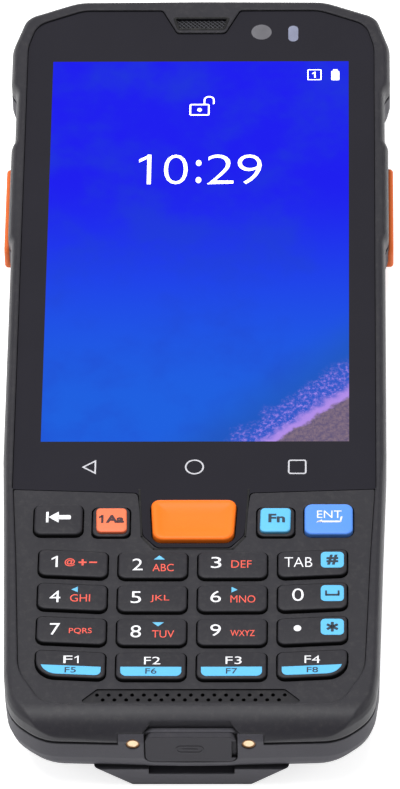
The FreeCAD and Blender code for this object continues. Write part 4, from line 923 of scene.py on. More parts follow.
@dataclass(frozen=True)
class Glazing:
    """The front glass: a dark printed border round the lit picture."""

    name: str = "front_glazing"
    border: Colour = Colour(34, 33, 39)
    half_width: float = 25.92
    half_height: float = 43.2
    glow: float = 1.0

    def build(self, _effects: Effects) -> bpy.types.Material:
        """Makes the material.

        Args:
            _effects: The shared node groups, which glass doesn't need.

        Returns:
            Glass with a border, and a picture of a sea shore.
        """
        made, sheet = new_material(self.name)
        split = sheet.put("ShaderNodeSeparateXYZ", {0: sheet.place()})
        across = sheet.math("MULTIPLY", split.outputs["X"], 1 / (self.half_width * MM))
        along = sheet.math("SUBTRACT", split.outputs["Y"], SCREEN_MIDDLE_Y * MM)
        along = sheet.math("MULTIPLY", along, 1 / (self.half_height * MM))
        lit = self._window(sheet, across, along, split)
        picture = self._picture(sheet, across, along)
        border = sheet.mix(sheet.noise(70.0, 3.0), self.border.scaled(0.94).linear(),
                           self.border.scaled(1.06).linear())
        base = sheet.mix(lit, border, Colour(6, 6, 10).linear())
        dark = (0.0, 0.0, 0.0, 1.0)
        smear = sheet.step(sheet.noise(26.0, 5.0, 0.7), 0.5, 0.8, 0.07, 0.16)
        sheet.surface({
            "Base Color": base, "Roughness": smear, "Emission Color": sheet.mix(lit, dark, picture),
            "Emission Strength": self.glow, "Specular IOR Level": 0.22})
        return made

    def _window(self, sheet: NodeSheet, across: bpy.types.NodeSocket, along: bpy.types.NodeSocket,
                split: bpy.types.Node) -> bpy.types.NodeSocket:
        """A mask that is 1 in the lit area on the upper face.

        Args:
            sheet: The sheet of the material.
            across: Place across, from -1 to 1 in the lit area.
            along: Place along, in the same way.
            split: The place in metres.

        Returns:
            The mask.
        """
        in_x = sheet.math("LESS_THAN", sheet.math("ABSOLUTE", across), 1.0)
        in_y = sheet.math("LESS_THAN", sheet.math("ABSOLUTE", along), 1.0)
        face = sheet.math("GREATER_THAN", split.outputs["Z"], (GLASS_FACE_Z - 0.05) * MM)
        return sheet.math("MULTIPLY", sheet.math("MULTIPLY", in_x, in_y), face)

    @staticmethod
    def _picture(sheet: NodeSheet, across: bpy.types.NodeSocket,
                 along: bpy.types.NodeSocket) -> bpy.types.NodeSocket:
        """A deep blue sea with a line of foam and a sandy corner at the low right.

        Args:
            sheet: The sheet of the material.
            across: Place across, from -1 to 1.
            along: Place along, in the same way.

        Returns:
            The colour of the picture.
        """
        tone = sheet.step(along, -0.9, 0.4)
        picture = sheet.mix(tone, Colour(12, 92, 222).linear(), Colour(10, 10, 238).linear())
        swell = sheet.step(sheet.noise(60.0, 4.0, 0.6), 0.4, 0.72, 0.0, 0.45)
        picture = sheet.mix(swell, picture, Colour(16, 62, 196).linear())
        fleck = sheet.noise(1500.0, 5.0, 0.75)
        foam = sheet.mix(sheet.step(fleck, 0.46, 0.7), Colour(40, 86, 200).linear(),
                         Colour(170, 140, 240).linear())
        sand = sheet.mix(sheet.step(fleck, 0.35, 0.65), Colour(96, 84, 118).linear(),
                         Colour(132, 112, 128).linear())
        bands = (
            (-1.0, 0.53, 0.02, 0.2, Colour(18, 84, 186).linear()),
            (-1.11, 0.52, 0.09, 0.05, foam),
            (-1.19, 0.46, 0.08, 0.03, Colour(176, 140, 232).linear()),
            (-1.24, 0.46, 0.06, 0.012, sand),
        )
        rough = sheet.math("SUBTRACT", sheet.noise(260.0, 4.0, 0.6), 0.5)
        for level, tilt, wobble, blur, colour in bands:
            slope = sheet.math("ADD", sheet.math("MULTIPLY", across, tilt), level)
            edge = sheet.math("ADD", sheet.math("MULTIPLY", rough, wobble * 2), slope)
            mask = sheet.step(sheet.math("SUBTRACT", edge, along), -blur, blur)
            picture = sheet.mix(mask, picture, colour)
        return picture


@dataclass(frozen=True)
class Lens:
    """Dark coated glass over a lens or a window."""

    name: str
    colour: Colour
    roughness: float = 0.06
    coat: float = 1.0

    def build(self, _effects: Effects) -> bpy.types.Material:
        """Makes the material, with faint smears in its gloss.

        Args:
            _effects: The shared node groups, which a lens doesn't need.

        Returns:
            The material.
        """
        made, sheet = new_material(self.name)
        cloud = sheet.noise(240.0, 4.0, 0.6)
        base = sheet.mix(cloud, self.colour.scaled(0.85).linear(), self.colour.scaled(1.15).linear())
        rough = sheet.step(cloud, 0.35, 0.75, self.roughness, self.roughness + 0.1)
        sheet.surface({
            "Base Color": base, "Roughness": rough, "Coat Weight": self.coat, "Coat Roughness": 0.04})
        return made


BRIGHT = {"roughness": 0.45, "dust": 0.0, "mottle": 0.05, "painted_seam_darkening": 0.0}
# Each finish's seam and skirt amounts set its painted shade in crevices and on faces that don't look up;
# the dark keys get the most, on their sides.
FINISHES = (
    Moulded("frame_plastic", Colour(37, 36, 41), roughness=0.48, grain_depth=0.18, rounding=0.55, painted_seam_darkening=0.9,
            polish=0.5),
    Moulded("shell_plastic", Colour(58, 57, 63), roughness=0.6, grain_scale=3400.0, grain_depth=0.5,
            rounding=0.5),
    Moulded("panel_plastic", Colour(37, 36, 41), roughness=0.55, grain_depth=0.22, rounding=0.08),
    Moulded("key_plastic", Colour(36, 35, 40), roughness=0.55, grain_depth=0.2, polish=0.1, rounding=0.06,
            painted_seam_darkening=0.0, skirt=0.92),
    Moulded("enter_blue", Colour(84, 138, 228), grain_depth=0.12, skirt=0.35, **BRIGHT),
    Moulded("scan_orange", Colour(240, 112, 22), grain_depth=0.16, skirt=0.3, **BRIGHT),
    Moulded("trigger_orange", Colour(206, 98, 44), roughness=0.55, grain_depth=0.3, mottle=0.08, painted_seam_darkening=0.6,
            specular=0.15),
    Moulded("cap_salmon", Colour(236, 116, 80), grain_depth=0.12, skirt=0.3, **BRIGHT),
    Moulded("cap_cyan", Colour(92, 176, 222), grain_depth=0.12, skirt=0.3, **BRIGHT),
    Moulded("grille_black", Colour(26, 25, 29), roughness=0.6, rounding=0.05),
    Moulded("module_black", Colour(14, 14, 16), roughness=0.6),
    Moulded("black_trim_and_shade", Colour(12, 12, 14), roughness=0.5, painted_seam_darkening=0.0),
    Moulded("rubber_black", Colour(50, 49, 54), roughness=0.75, grain_scale=7000.0, grain_depth=0.35,
            rounding=0.2, painted_seam_darkening=0.9),
    Moulded("board_green", Colour(22, 84, 52), roughness=0.4, grain_scale=1500.0, mottle=0.3),
    Moulded("cast_metal", Colour(150, 152, 156), roughness=0.42, metallic=1.0, grain_scale=2600.0),
    Moulded("can_steel", Colour(178, 180, 184), roughness=0.3, metallic=1.0, grain_scale=1800.0),
    Moulded("mesh_steel", Colour(70, 70, 75), roughness=0.45, metallic=0.4, dust=0.0, rounding=0.03,
            painted_seam_darkening=0.4),
    Moulded("screw_steel", Colour(96, 97, 100), roughness=0.32, metallic=1.0, rounding=0.05),
    Moulded("contact_gold", Colour(226, 196, 160), roughness=0.4, metallic=0.5, grain_scale=2400.0,
            dust=0.0, rounding=0.08, painted_seam_darkening=0.5),
    Moulded("contact_rim", Colour(120, 84, 52), roughness=0.4, metallic=0.6, dust=0.0, painted_seam_darkening=0.0),
    Moulded("battery_wrap", Colour(40, 42, 48), roughness=0.36, grain_scale=1200.0),
    Moulded("latch_orange", Colour(222, 104, 40), roughness=0.5, rounding=0.1),
    Lens("lens_black", Colour(10, 11, 16)),
    Lens("window_dark", Colour(34, 8, 14)),
    Lens("lamp_clear", Colour(226, 220, 170), roughness=0.2),
    Lens("camera_smoke", Colour(98, 97, 102), roughness=0.12, coat=0.0),
    Lens("sensor_smoke", Colour(120, 124, 144), roughness=0.12, coat=0.0),
    Ink("white_ink", Colour(236, 236, 240)),
    Ink("red_ink", Colour(236, 84, 66)),
    Ink("cyan_ink", Colour(96, 182, 226)),
    Ink("dark_ink", Colour(12, 38, 54)),
    Ink("plum_ink", Colour(52, 12, 22)),
    Ink("nav_ink", Colour(190, 190, 196)),
    Ink("screen_white", Colour(250, 250, 255), glow=1.0),
    Glazing(),
)

NODE_FINISH = {
    "front_frame": "frame_plastic", "front_glass": "front_glazing", "display_panel": "module_black",
    "keypad_panel": "panel_plastic", "speaker_grille": "grille_black", "loudspeaker": "module_black",
    "earpiece_mesh": "module_black", "earpiece": "module_black", "front_camera": "module_black",
    "light_sensor": "lens_black", "keypad_mat": "rubber_black", "keypad_board": "board_green",
    "mid_frame": "cast_metal", "main_board": "board_green", "shield_cans": "can_steel",
    "card_holder": "can_steel", "vibration_motor": "can_steel", "rear_shell": "shell_plastic",
    "port_cover": "rubber_black", "usb_socket": "can_steel", "charge_contacts": "contact_gold",
    "scan_window": "window_dark", "scan_engine": "module_black", "rear_camera": "module_black",
    "camera_lamp": "lamp_clear", "battery_pack": "battery_wrap", "battery_cover": "shell_plastic",
    "battery_seal": "rubber_black", "battery_latch": "latch_orange", "housing_screws": "screw_steel",
    "trigger_left": "trigger_orange", "trigger_right": "trigger_orange", "side_switches": "module_black",
    "power_key": "key_plastic", "volume_rocker": "key_plastic", "scan_key": "scan_orange",
    "back_key": "key_plastic", "enter_key": "enter_blue", "alpha_key": "key_plastic",
    "fn_key": "key_plastic", "alpha_key_cap": "cap_salmon", "fn_key_cap": "cap_cyan",
}


@dataclass
class Studio:
    """The pale floor, the soft light and the camera at the photographed angle."""

    azimuth: float = 1.817
    elevation: float = 50.17
    roll: float = -1.484
    distance: float = 1237.98
    target: Vector = field(default_factory=lambda: Vector((0.741, -9.771, 16.0)))
    lens: float = 334.3
    sensor: float = 36.0
    floor_reach: float = 4000.0
    floor_glow: float = 0.78
    surround: float = 0.38
    lamps: tuple = (("top_softbox", (-150, 90, 1000), 620, 12.0), ("end_softbox", (0, 900, 160), 420, 1.5),
                    ("left_softbox", (-800, 0, 350), 500, 1.6), ("right_softbox", (800, 0, 350), 500, 1.6))

    def build(self) -> None:
        """Makes the floor, the lights and the camera."""
        bpy.context.scene.view_settings.view_transform = "Standard"
        self._floor()
        self._world()
        for name, place, size, power in self.lamps:
            self._lamp(name, place, size, power)
        self._camera()

    def _floor(self) -> None:
        """A pale floor that the terminal lies on."""
        deselect()
        bpy.ops.mesh.primitive_plane_add(size=self.floor_reach * MM, location=(0, 0, 0))
        floor = named("floor")
        made, sheet = new_material("pale_floor")
        tone = sheet.mix(sheet.noise(3.0), (0.86, 0.86, 0.86, 1), (0.9, 0.9, 0.9, 1))
        sheet.surface({
            "Base Color": tone, "Roughness": 0.9, "Emission Color": tone,
            "Emission Strength": self.floor_glow})
        wear(floor, made)

    def _world(self) -> None:
        """A plain white surround."""
        world = bpy.data.worlds.new("surround")
        world.use_nodes = True
        background = world.node_tree.nodes["Background"]
        background.inputs["Color"].default_value = (1, 1, 1, 1)
        background.inputs["Strength"].default_value = self.surround
        bpy.context.scene.world = world

    def _lamp(self, name: str, place: tuple[float, float, float], size: float, power: float) -> None:
        """One square soft light that looks at the terminal.

        Args:
            name: Its name.
            place: Its place in millimetres.
            size: Length of its sides.
            power: Its power in watts.
        """
        light = bpy.data.lights.new(name, "AREA")
        light.size = size * MM
        light.energy = power
        lamp = bpy.data.objects.new(name, light)
        bpy.context.scene.collection.objects.link(lamp)
        lamp.location = Vector(place) * MM
        aim = (self.target * MM - lamp.location).to_track_quat("-Z", "Y")
        lamp.rotation_euler = aim.to_euler()

    def _camera(self) -> None:
        """The camera, turned a little about its own axis."""
        turn, lift, roll = (math.radians(v) for v in (self.azimuth, self.elevation, self.roll))
        back = Vector((math.sin(turn) * math.cos(lift), -math.cos(turn) * math.cos(lift),
                       math.sin(lift)))
        right = (-back).cross(Vector((0, 0, 1))).normalized()
        up = right.cross(-back)
        across = right * math.cos(roll) + up * math.sin(roll)
        upward = up * math.cos(roll) - right * math.sin(roll)
        data = bpy.data.cameras.new("photo_camera")
        data.sensor_width = self.sensor
        data.lens = self.lens
        camera = bpy.data.objects.new("photo_camera", data)
        bpy.context.scene.collection.objects.link(camera)
        turned = Matrix((across, upward, back)).transposed().to_4x4()
        camera.matrix_world = Matrix.Translation((self.target + back * self.distance) * MM) @ turned
        bpy.context.scene.camera = camera


@dataclass(frozen=True)
class Legend:
    """One printed mark on a key: words, where and how large."""

    text: str
    x: float
    y: float
    width: float
    height: float
    ink: str = "white_ink"
    weight: float = -0.004


@dataclass(frozen=True)
class Arrow:
    """A small printed triangle on a key."""

    x: float
    y: float
    width: float
    height: float
    turn: float


@dataclass
class KeyFace:
    """The visible top of a key, which its prints lie on."""

    x: float
    y: float
    top: float
    slope: float

    def height(self, y: float) -> float:
        """The height of the face at a place along the terminal."""
        return self.top + self.slope * (y - self.y)

    def lay(self, piece: bpy.types.Object, x: float, y: float, lift: float) -> None:
        """Lays a print on the face, at a place from its middle and a height over it."""
        lay(piece, self.x + x, self.y + y, self.height(self.y + y) + lift, self.slope)


@dataclass
class Keypad:
    """Every key with its cap and its prints."""

    finishes: dict[str, bpy.types.Material]
    tab_reach: float = 0.45
    smile_rise: float = 0.7
    smile_x: float = 25.6
    tilt: float = 0.22
    edge_round: float = 0.34
    top_round: float = 0.9
    low_round: float = 1.3
    swept_round: float = 3.4
    print_thickness: float = 0.03
    band_margin: float = 0.72
    band_top: float = -0.27
    tile_width: float = 3.83
    tile_height: float = 3.46
    tile_round: float = 0.75
    star_stroke: float = 0.46
    scan_narrow: float = 0.5
    scan_low_round: float = 1.7
    scan_top_round: float = 1.5
    scan_dish: tuple = ((0.93, 0.87, 0.1), (0.9, 0.8, 0.08), (0.8, 0.6, 0.05))
    stem_share: float = 0.15
    stem_gain: float = 1.5

    def build(self) -> None:
        """Makes every key."""
        rows = (("key_1", "key_2", "key_3", "key_tab"), ("key_4", "key_5", "key_6", "key_0"),
                ("key_7", "key_8", "key_9", "key_dot"), ("key_f1", "key_f2", "key_f3", "key_f4"))
        for row, names in enumerate(rows):
            for column, name in enumerate(names):
                face = self._grid_key(name, row, column)
                self._prints(name, face)
                if row == len(rows) - 1:
                    self._band(name, column, face)
        self._side_key("back_key", "key_plastic")
        self._side_key("enter_key", "enter_blue")
        self._shift_key("alpha_key", "cap_salmon")
        self._shift_key("fn_key", "cap_cyan")
        self._scan_key()

    def smile(self, x: float) -> float:
        """How far the rows rise away from the middle."""
        return self.smile_rise * (x / self.smile_x) ** 4

    def _cap(self, name: str, corners: Sequence[Corner], foot: float, top: float, tilt: float,
             edge_round: float) -> bpy.types.Object:
        """A soft-edged cap.

        Args:
            name: The piece's name.
            corners: Its plan, from low left anticlockwise.
            foot: Height of its foot.
            top: Height of its near edge.
            tilt: How much lower its far edge is.
            edge_round: Radius of the upper edge.

        Returns:
            The cap.
        """
        piece = plate(name, corners, foot, top, 6)
        low = min(corner[1] for corner in corners)
        high = max(corner[1] for corner in corners)
        fall = tilt / (high - low)
        with editing(piece, Element.VERT):
            if tilt > 0:
                for v in bmesh.from_edit_mesh(piece.data).verts:
                    if v.co.z > (top - 0.01) * MM:
                        v.co.z -= fall * (v.co.y - low * MM)
                bmesh.update_edit_mesh(piece.data)
        with editing(piece, Element.FACE):
            pick(Element.FACE, lambda co, normal: normal.z > 0.9)
            bpy.ops.mesh.region_to_loop()
            bevel(edge_round, 4)
        smooth(piece)
        return piece

    def _plan(self, name: str, low_round: float, top_round: float, narrow: float = 0.0) -> list[Corner]:
        """The plan of a straight key, inside the tabs of its solid.

        Args:
            name: The key's node.
            low_round: Radius of the near corners.
            top_round: Radius of the far corners.
            narrow: How much the near edge is drawn in on each side.

        Returns:
            The four corners, from low left anticlockwise.
        """
        low, high = box_of(name)
        left, right = low.x + self.tab_reach, high.x - self.tab_reach
        return [(left + narrow, low.y, low_round), (right - narrow, low.y, low_round),
                (right, high.y, top_round), (left, high.y, top_round)]

    @staticmethod
    def _face(name: str, tilt: float) -> KeyFace:
        """The upper face of a straight cap that falls by its tilt.

        Args:
            name: The key's node.
            tilt: How much lower its far edge is.

        Returns:
            The face.
        """
        low, high = box_of(name)
        return KeyFace((low.x + high.x) / 2, (low.y + high.y) / 2, high.z - tilt / 2,
                       -tilt / (high.y - low.y))

    def _grid_key(self, name: str, row: int, column: int) -> KeyFace:
        """A number or function key, on the place of its solid.

        Args:
            name: The key's node.
            row: Its row, from 0 at the top.
            column: Its column, from 0 at the left.

        Returns:
            The face for its prints.
        """
        low, high = box_of(name)
        left, right = low.x + self.tab_reach, high.x - self.tab_reach
        lift_left, lift_right = self.smile(left), self.smile(right)
        base = low.y - min(lift_left, lift_right)
        roof = high.y - max(lift_left, lift_right)
        swept = row == 3
        round_left = self.swept_round if swept and column == 0 else self.low_round
        round_right = self.swept_round if swept and column == 3 else self.low_round
        corners = [(left, base + lift_left, round_left), (right, base + lift_right, round_right),
                   (right, roof + lift_right, self.top_round), (left, roof + lift_left, self.top_round)]
        piece = self._cap(f"{name}_cap", corners, low.z, high.z, self.tilt, self.edge_round)
        dress(piece, self.finishes["key_plastic"], name, [name])
        length = roof - base
        middle = (base + roof) / 2 + self.smile((left + right) / 2)
        return KeyFace((left + right) / 2, middle, high.z - self.tilt / 2, -self.tilt / length)

    def _prints(self, name: str, face: KeyFace) -> None:
        """The prints of one grid key.

        Args:
            name: The key's node.
            face: The face that it lies on.
        """
        for index, mark in enumerate(PRINTS[name]):
            if isinstance(mark, Arrow):
                self._arrow(f"{name}_arrow", mark, face, name)
            elif mark.text in TILE_MARKS:
                self._tile(f"{name}_tile", mark, face, name)
            else:
                self._legend(f"{name}_print_{index}", mark, face, name)

    def _legend(self, piece_name: str, mark: Legend, face: KeyFace, body: str,
                lift: float = 0.0) -> bpy.types.Object:
        """Words on a key.

        Args:
            piece_name: The piece's name.
            mark: What it says, where and how large.
            face: The face that it lies on.
            body: The body that carries it.
            lift: How far it lies over the face.

        Returns:
            The words.
        """
        piece = words(piece_name, mark.text, mark.width, mark.height, self.print_thickness, mark.weight,
                      self.stem_share + self.stem_gain * mark.weight)
        face.lay(piece, mark.x, mark.y, lift + self.print_thickness / 4)
        return dress(piece, self.finishes[mark.ink], body)

    def _arrow(self, piece_name: str, mark: Arrow, face: KeyFace, body: str) -> None:
        """A printed triangle that points along its turn.

        Args:
            piece_name: The piece's name.
            mark: Its place, size and turn.
            face: The face that it lies on.
            body: The body that carries it.
        """
        piece = triangle(piece_name, mark.turn, mark.width, mark.height, self.print_thickness)
        face.lay(piece, mark.x, mark.y, self.print_thickness / 4)
        dress(piece, self.finishes["cyan_ink"], body)

    def _tile(self, piece_name: str, mark: Legend, face: KeyFace, body: str) -> None:
        """A cyan tile with a dark mark on it.

        Args:
            piece_name: The piece's name.
            mark: The mark and its place.
            face: The face that it lies on.
            body: The body that carries it.
        """
        tile = plate(piece_name, rectangle(0, 0, self.tile_width, self.tile_height, self.tile_round),
                     -0.05, 0.05)
        fit(tile, self.tile_width, self.tile_height, 2 * self.print_thickness)
        face.lay(tile, mark.x, mark.y, 0)
        dress(tile, self.finishes["cap_cyan"], body)
        if mark.text == SPACE_MARK:
            bars = ((0, -0.42, 2.5, 0.34), (-1.08, -0.1, 0.34, 0.95), (1.08, -0.1, 0.34, 0.95))
            sign = join(f"{body}_tile_mark",
                        [plate("bar", rectangle(*bar, 0.1), 0, 0.05) for bar in bars])
            fit(sign, mark.width, mark.height, self.print_thickness)
        elif mark.text == STAR_MARK:
            bars = []
            for index in range(3):
                bar = plate(f"bar_{index}", rectangle(0, 0, self.star_stroke, 2.0, 0.12), 0, 0.05)
                bar.data.transform(Matrix.Rotation(index * math.pi / 3, 4, "Z"))
                bars.append(bar)
            sign = join(f"{body}_tile_mark", bars)
            fit(sign, mark.width, mark.height, self.print_thickness)
        else:
            sign = words(f"{body}_tile_mark", mark.text, mark.width, mark.height, self.print_thickness,
                         mark.weight)
        face.lay(sign, mark.x, mark.y, self.print_thickness * 1.2)
        dress(sign, self.finishes[mark.ink], body)

    def _band(self, name: str, column: int, face: KeyFace) -> None:
        """The cyan band along the near edge of a function key.

        Args:
            name: The key's node.
            column: Its column, from 0 at the left.
            face: The face that it lies on.
        """
        low, high = box_of(name)
        left = low.x + self.tab_reach + self.band_margin
        right = high.x - self.tab_reach - self.band_margin
        base = low.y - min(self.smile(left), self.smile(right)) + self.band_margin - 0.12
        round_left = self.swept_round - self.band_margin if column == 0 else 1.0
        round_right = self.swept_round - self.band_margin if column == 3 else 1.0
        roof = face.y + 3.0
        corners = [(left, base + self.smile(left), round_left),
                   (right, base + self.smile(right), round_right), (right, roof, 0), (left, roof, 0)]
        band = plate(f"{name}_band", corners, 0, 0.1, 8)
        out = Vector((self.smile(left) - self.smile(right), right - left)).normalized()
        with editing(band, Element.FACE):
            trim(face.x, face.y + self.band_top, out.x, out.y)
        tilt = Matrix.Identity(4)
        tilt[2][1] = face.slope
        tilt[2][2] = self.print_thickness / 0.1
        tilt[2][3] = (face.height(0) - self.print_thickness / 4) * MM
        band.data.transform(tilt)
        dress(band, self.finishes["cap_cyan"], name)
        number = {"key_f1": "F5", "key_f2": "F6", "key_f3": "F7", "key_f4": "F8"}[name]
        mark = Legend(number, 0.02, -1.18, 1.85, 1.16, "dark_ink", 0.006)
        self._legend(f"{name}_second_print", mark, face, name, self.print_thickness)

    def _side_key(self, name: str, finish: str) -> None:
        """A wide key at one end of the top row, with its print.

        Args:
            name: The key's node.
            finish: Name of its finish.
        """
        low, high = box_of(name)
        corners = self._plan(name, self.low_round, self.low_round)
        piece = self._cap(f"{name}_cap", corners, low.z, high.z, self.tilt, self.edge_round + 0.1)
        dress(piece, self.finishes[finish], name, [name])
        draw = self._back_arrow if name == "back_key" else self._enter_print
        draw(self._face(name, self.tilt))

    def _back_arrow(self, face: KeyFace) -> None:
        """A white arrow that points at a bar.

        Args:
            face: The face that it lies on.
        """
        parts = [plate("bar", rectangle(-1.86, 0, 0.42, 2.3, 0.05), 0, 0.1),
                 plate("shaft", rectangle(1.0, -0.02, 2.2, 0.92, 0.3), 0, 0.1)]
        head = triangle("head", 90, 1.7, 2.4, 0.1)
        head.data.transform(Matrix.Translation(Vector((-0.8, 0, 0.05)) * MM))
        sign = join("back_key_print", parts + [head])
        fit(sign, 4.14, 2.4, self.print_thickness)
        face.lay(sign, 0, 0.36, self.print_thickness / 4)
        dress(sign, self.finishes["white_ink"], "back_key")

    def _enter_print(self, face: KeyFace) -> None:
        """The entry word over a turned arrow.

        Args:
            face: The face that it lies on.
        """
        self._legend("enter_key_print", Legend("ENT", 0.1, 0.92, 4.08, 1.6), face, "enter_key")
        parts = [plate("line", rectangle(0, 0, 3.9, 0.34, 0.1), 0, 0.1),
                 plate("tip", [(-2.2, -0.17, 0), (-1.2, -0.17, 0), (-1.2, 0.42, 0), (-1.3, 0.42, 0)],
                       0, 0.1),
                 plate("riser", [(1.7, -0.1, 0.05), (1.95, -0.1, 0.05), (2.2, 1.1, 0.05),
                                 (1.9, 1.1, 0.05)], 0, 0.1)]
        sign = join("enter_key_arrow", parts)
        fit(sign, 4.4, 1.25, self.print_thickness)
        face.lay(sign, 0.1, -0.2, self.print_thickness / 4)
        dress(sign, self.finishes["white_ink"], "enter_key")

    def _shift_key(self, name: str, finish: str) -> None:
        """A small dark key with a coloured cap.

        Args:
            name: The key's node.
            finish: Name of the cap's finish.
        """
        low, high = box_of(name)
        corners = self._plan(name, self.low_round, self.low_round)
        skirt = self._cap(f"{name}_skirt", corners, low.z, high.z, 0.0, 0.25)
        dress(skirt, self.finishes["key_plastic"], name, [name])
        cap_low, cap_high = box_of(f"{name}_cap")
        lean = 0.12 if name == "fn_key" else -0.12
        corners = [(cap_low.x - lean, cap_low.y, 0.9), (cap_high.x - lean, cap_low.y, 0.9),
                   (cap_high.x, cap_high.y, 0.7), (cap_low.x, cap_high.y, 0.7)]
        cap = self._cap(f"{name}_top", corners, cap_low.z, cap_high.z, self.tilt / 2, 0.3)
        dress(cap, self.finishes[finish], name, [f"{name}_cap"])
        face = self._face(f"{name}_cap", self.tilt / 2)
        self._legend(f"{name}_print", SHIFT_PRINTS[name], face, name)

    def _scan_key(self) -> None:
        """The large orange key, with a shallow dish."""
        low, high = box_of("scan_key")
        corners = self._plan("scan_key", self.scan_low_round, self.scan_top_round, self.scan_narrow)
        piece = self._cap("scan_key_cap", corners, low.z, high.z, 0.0, 0.55)
        with editing(piece, Element.FACE):
            pick(Element.FACE, lambda co, normal: normal.z > 0.99 and co.z > high.z - 0.02)
            bpy.ops.mesh.inset(thickness=0.45 * MM)
            shift(0, 0, -0.04)
            middle = ((low + high) / 2 * MM)
            for across, along, drop in self.scan_dish:
                bpy.ops.mesh.extrude_region_move(TRANSFORM_OT_translate={"value": (0, 0, -drop * MM)})
                bpy.ops.transform.resize(value=(across, along, 1), center_override=middle)
        smooth(piece, 40)
        dress(piece, self.finishes["scan_orange"], "scan_key", ["scan_key"])


SPACE_MARK = "space"
STAR_MARK = "*"
TILE_MARKS = ("#", SPACE_MARK, STAR_MARK)
PRINTS: dict[str, tuple] = {
    "key_1": (Legend("1", -3.1, 0.5, 1.05, 2.42), Legend("@", -0.55, 0.3, 1.75, 1.7, "red_ink", 0.01),
              Legend("+", 1.55, 0.3, 1.35, 1.35, "red_ink", 0.02),
              Legend("-", 3.3, 0.3, 1.3, 0.3, "red_ink", 0.02)),
    "key_2": (Legend("2", -2.55, 0.1, 1.72, 2.52), Legend("ABC", 1.7, -0.6, 3.5, 1.6, "red_ink"),
              Arrow(1.05, 1.6, 1.85, 0.9, 0)),
    "key_3": (Legend("3", -2.75, 0.5, 1.72, 2.42), Legend("DEF", 1.45, 0.15, 3.36, 1.58, "red_ink")),
    "key_tab": (Legend("TAB", -2.35, 0.3, 4.6, 2.1, weight=-0.012),
                Legend("#", 3.28, 0.8, 1.95, 2.2, "dark_ink", 0.045)),
    "key_4": (Legend("4", -2.85, 0.15, 1.76, 2.52), Legend("GHI", 1.3, -0.2, 3.3, 1.58, "red_ink"),
              Arrow(0.35, 1.65, 1.05, 1.2, 90)),
    "key_5": (Legend("5", -2.7, 0.2, 1.72, 2.54), Legend("JKL", 1.25, -0.1, 3.1, 1.55, "red_ink")),
    "key_6": (Legend("6", -2.75, 0.33, 1.74, 2.46), Legend("MNO", 1.75, -0.2, 4.1, 1.55, "red_ink"),
              Arrow(0.35, 1.8, 1.0, 1.2, -90)),
    "key_0": (Legend("0", -2.4, 0.45, 1.9, 2.7, weight=-0.008),
              Legend(SPACE_MARK, 3.28, 0.78, 2.4, 1.15, "dark_ink")),
    "key_7": (Legend("7", -2.7, 0.33, 1.7, 2.5), Legend("PQRS", 1.5, -0.12, 3.76, 1.33, "red_ink", 0.0)),
    "key_8": (Legend("8", -2.6, 0.07, 1.72, 2.6), Legend("TUV", 1.9, -0.5, 3.65, 1.54, "red_ink"),
              Arrow(1.05, 1.58, 1.9, 0.87, 180)),
    "key_9": (Legend("9", -2.7, 0.33, 1.74, 2.48), Legend("WXYZ", 1.75, -0.32, 4.0, 1.28, "red_ink", 0.0)),
    "key_dot": (Legend(".", -2.45, 0.45, 1.25, 1.3), Legend(STAR_MARK, 3.28, 0.75, 1.95, 2.1, "dark_ink")),
    "key_f1": (Legend("F1", 0.1, 1.05, 2.5, 1.6),),
    "key_f2": (Legend("F2", 0.2, 1.05, 2.66, 1.6),),
    "key_f3": (Legend("F3", 0.32, 1.1, 2.62, 1.6),),
    "key_f4": (Legend("F4", 0.0, 1.05, 2.54, 1.6),),
}
SHIFT_PRINTS = {
    "alpha_key": Legend("1Aa", 0.05, 0.14, 4.2, 1.74, "plum_ink", 0.05),
    "fn_key": Legend("Fn", 0.15, 0.3, 2.78, 1.87, "dark_ink", 0.035),
}


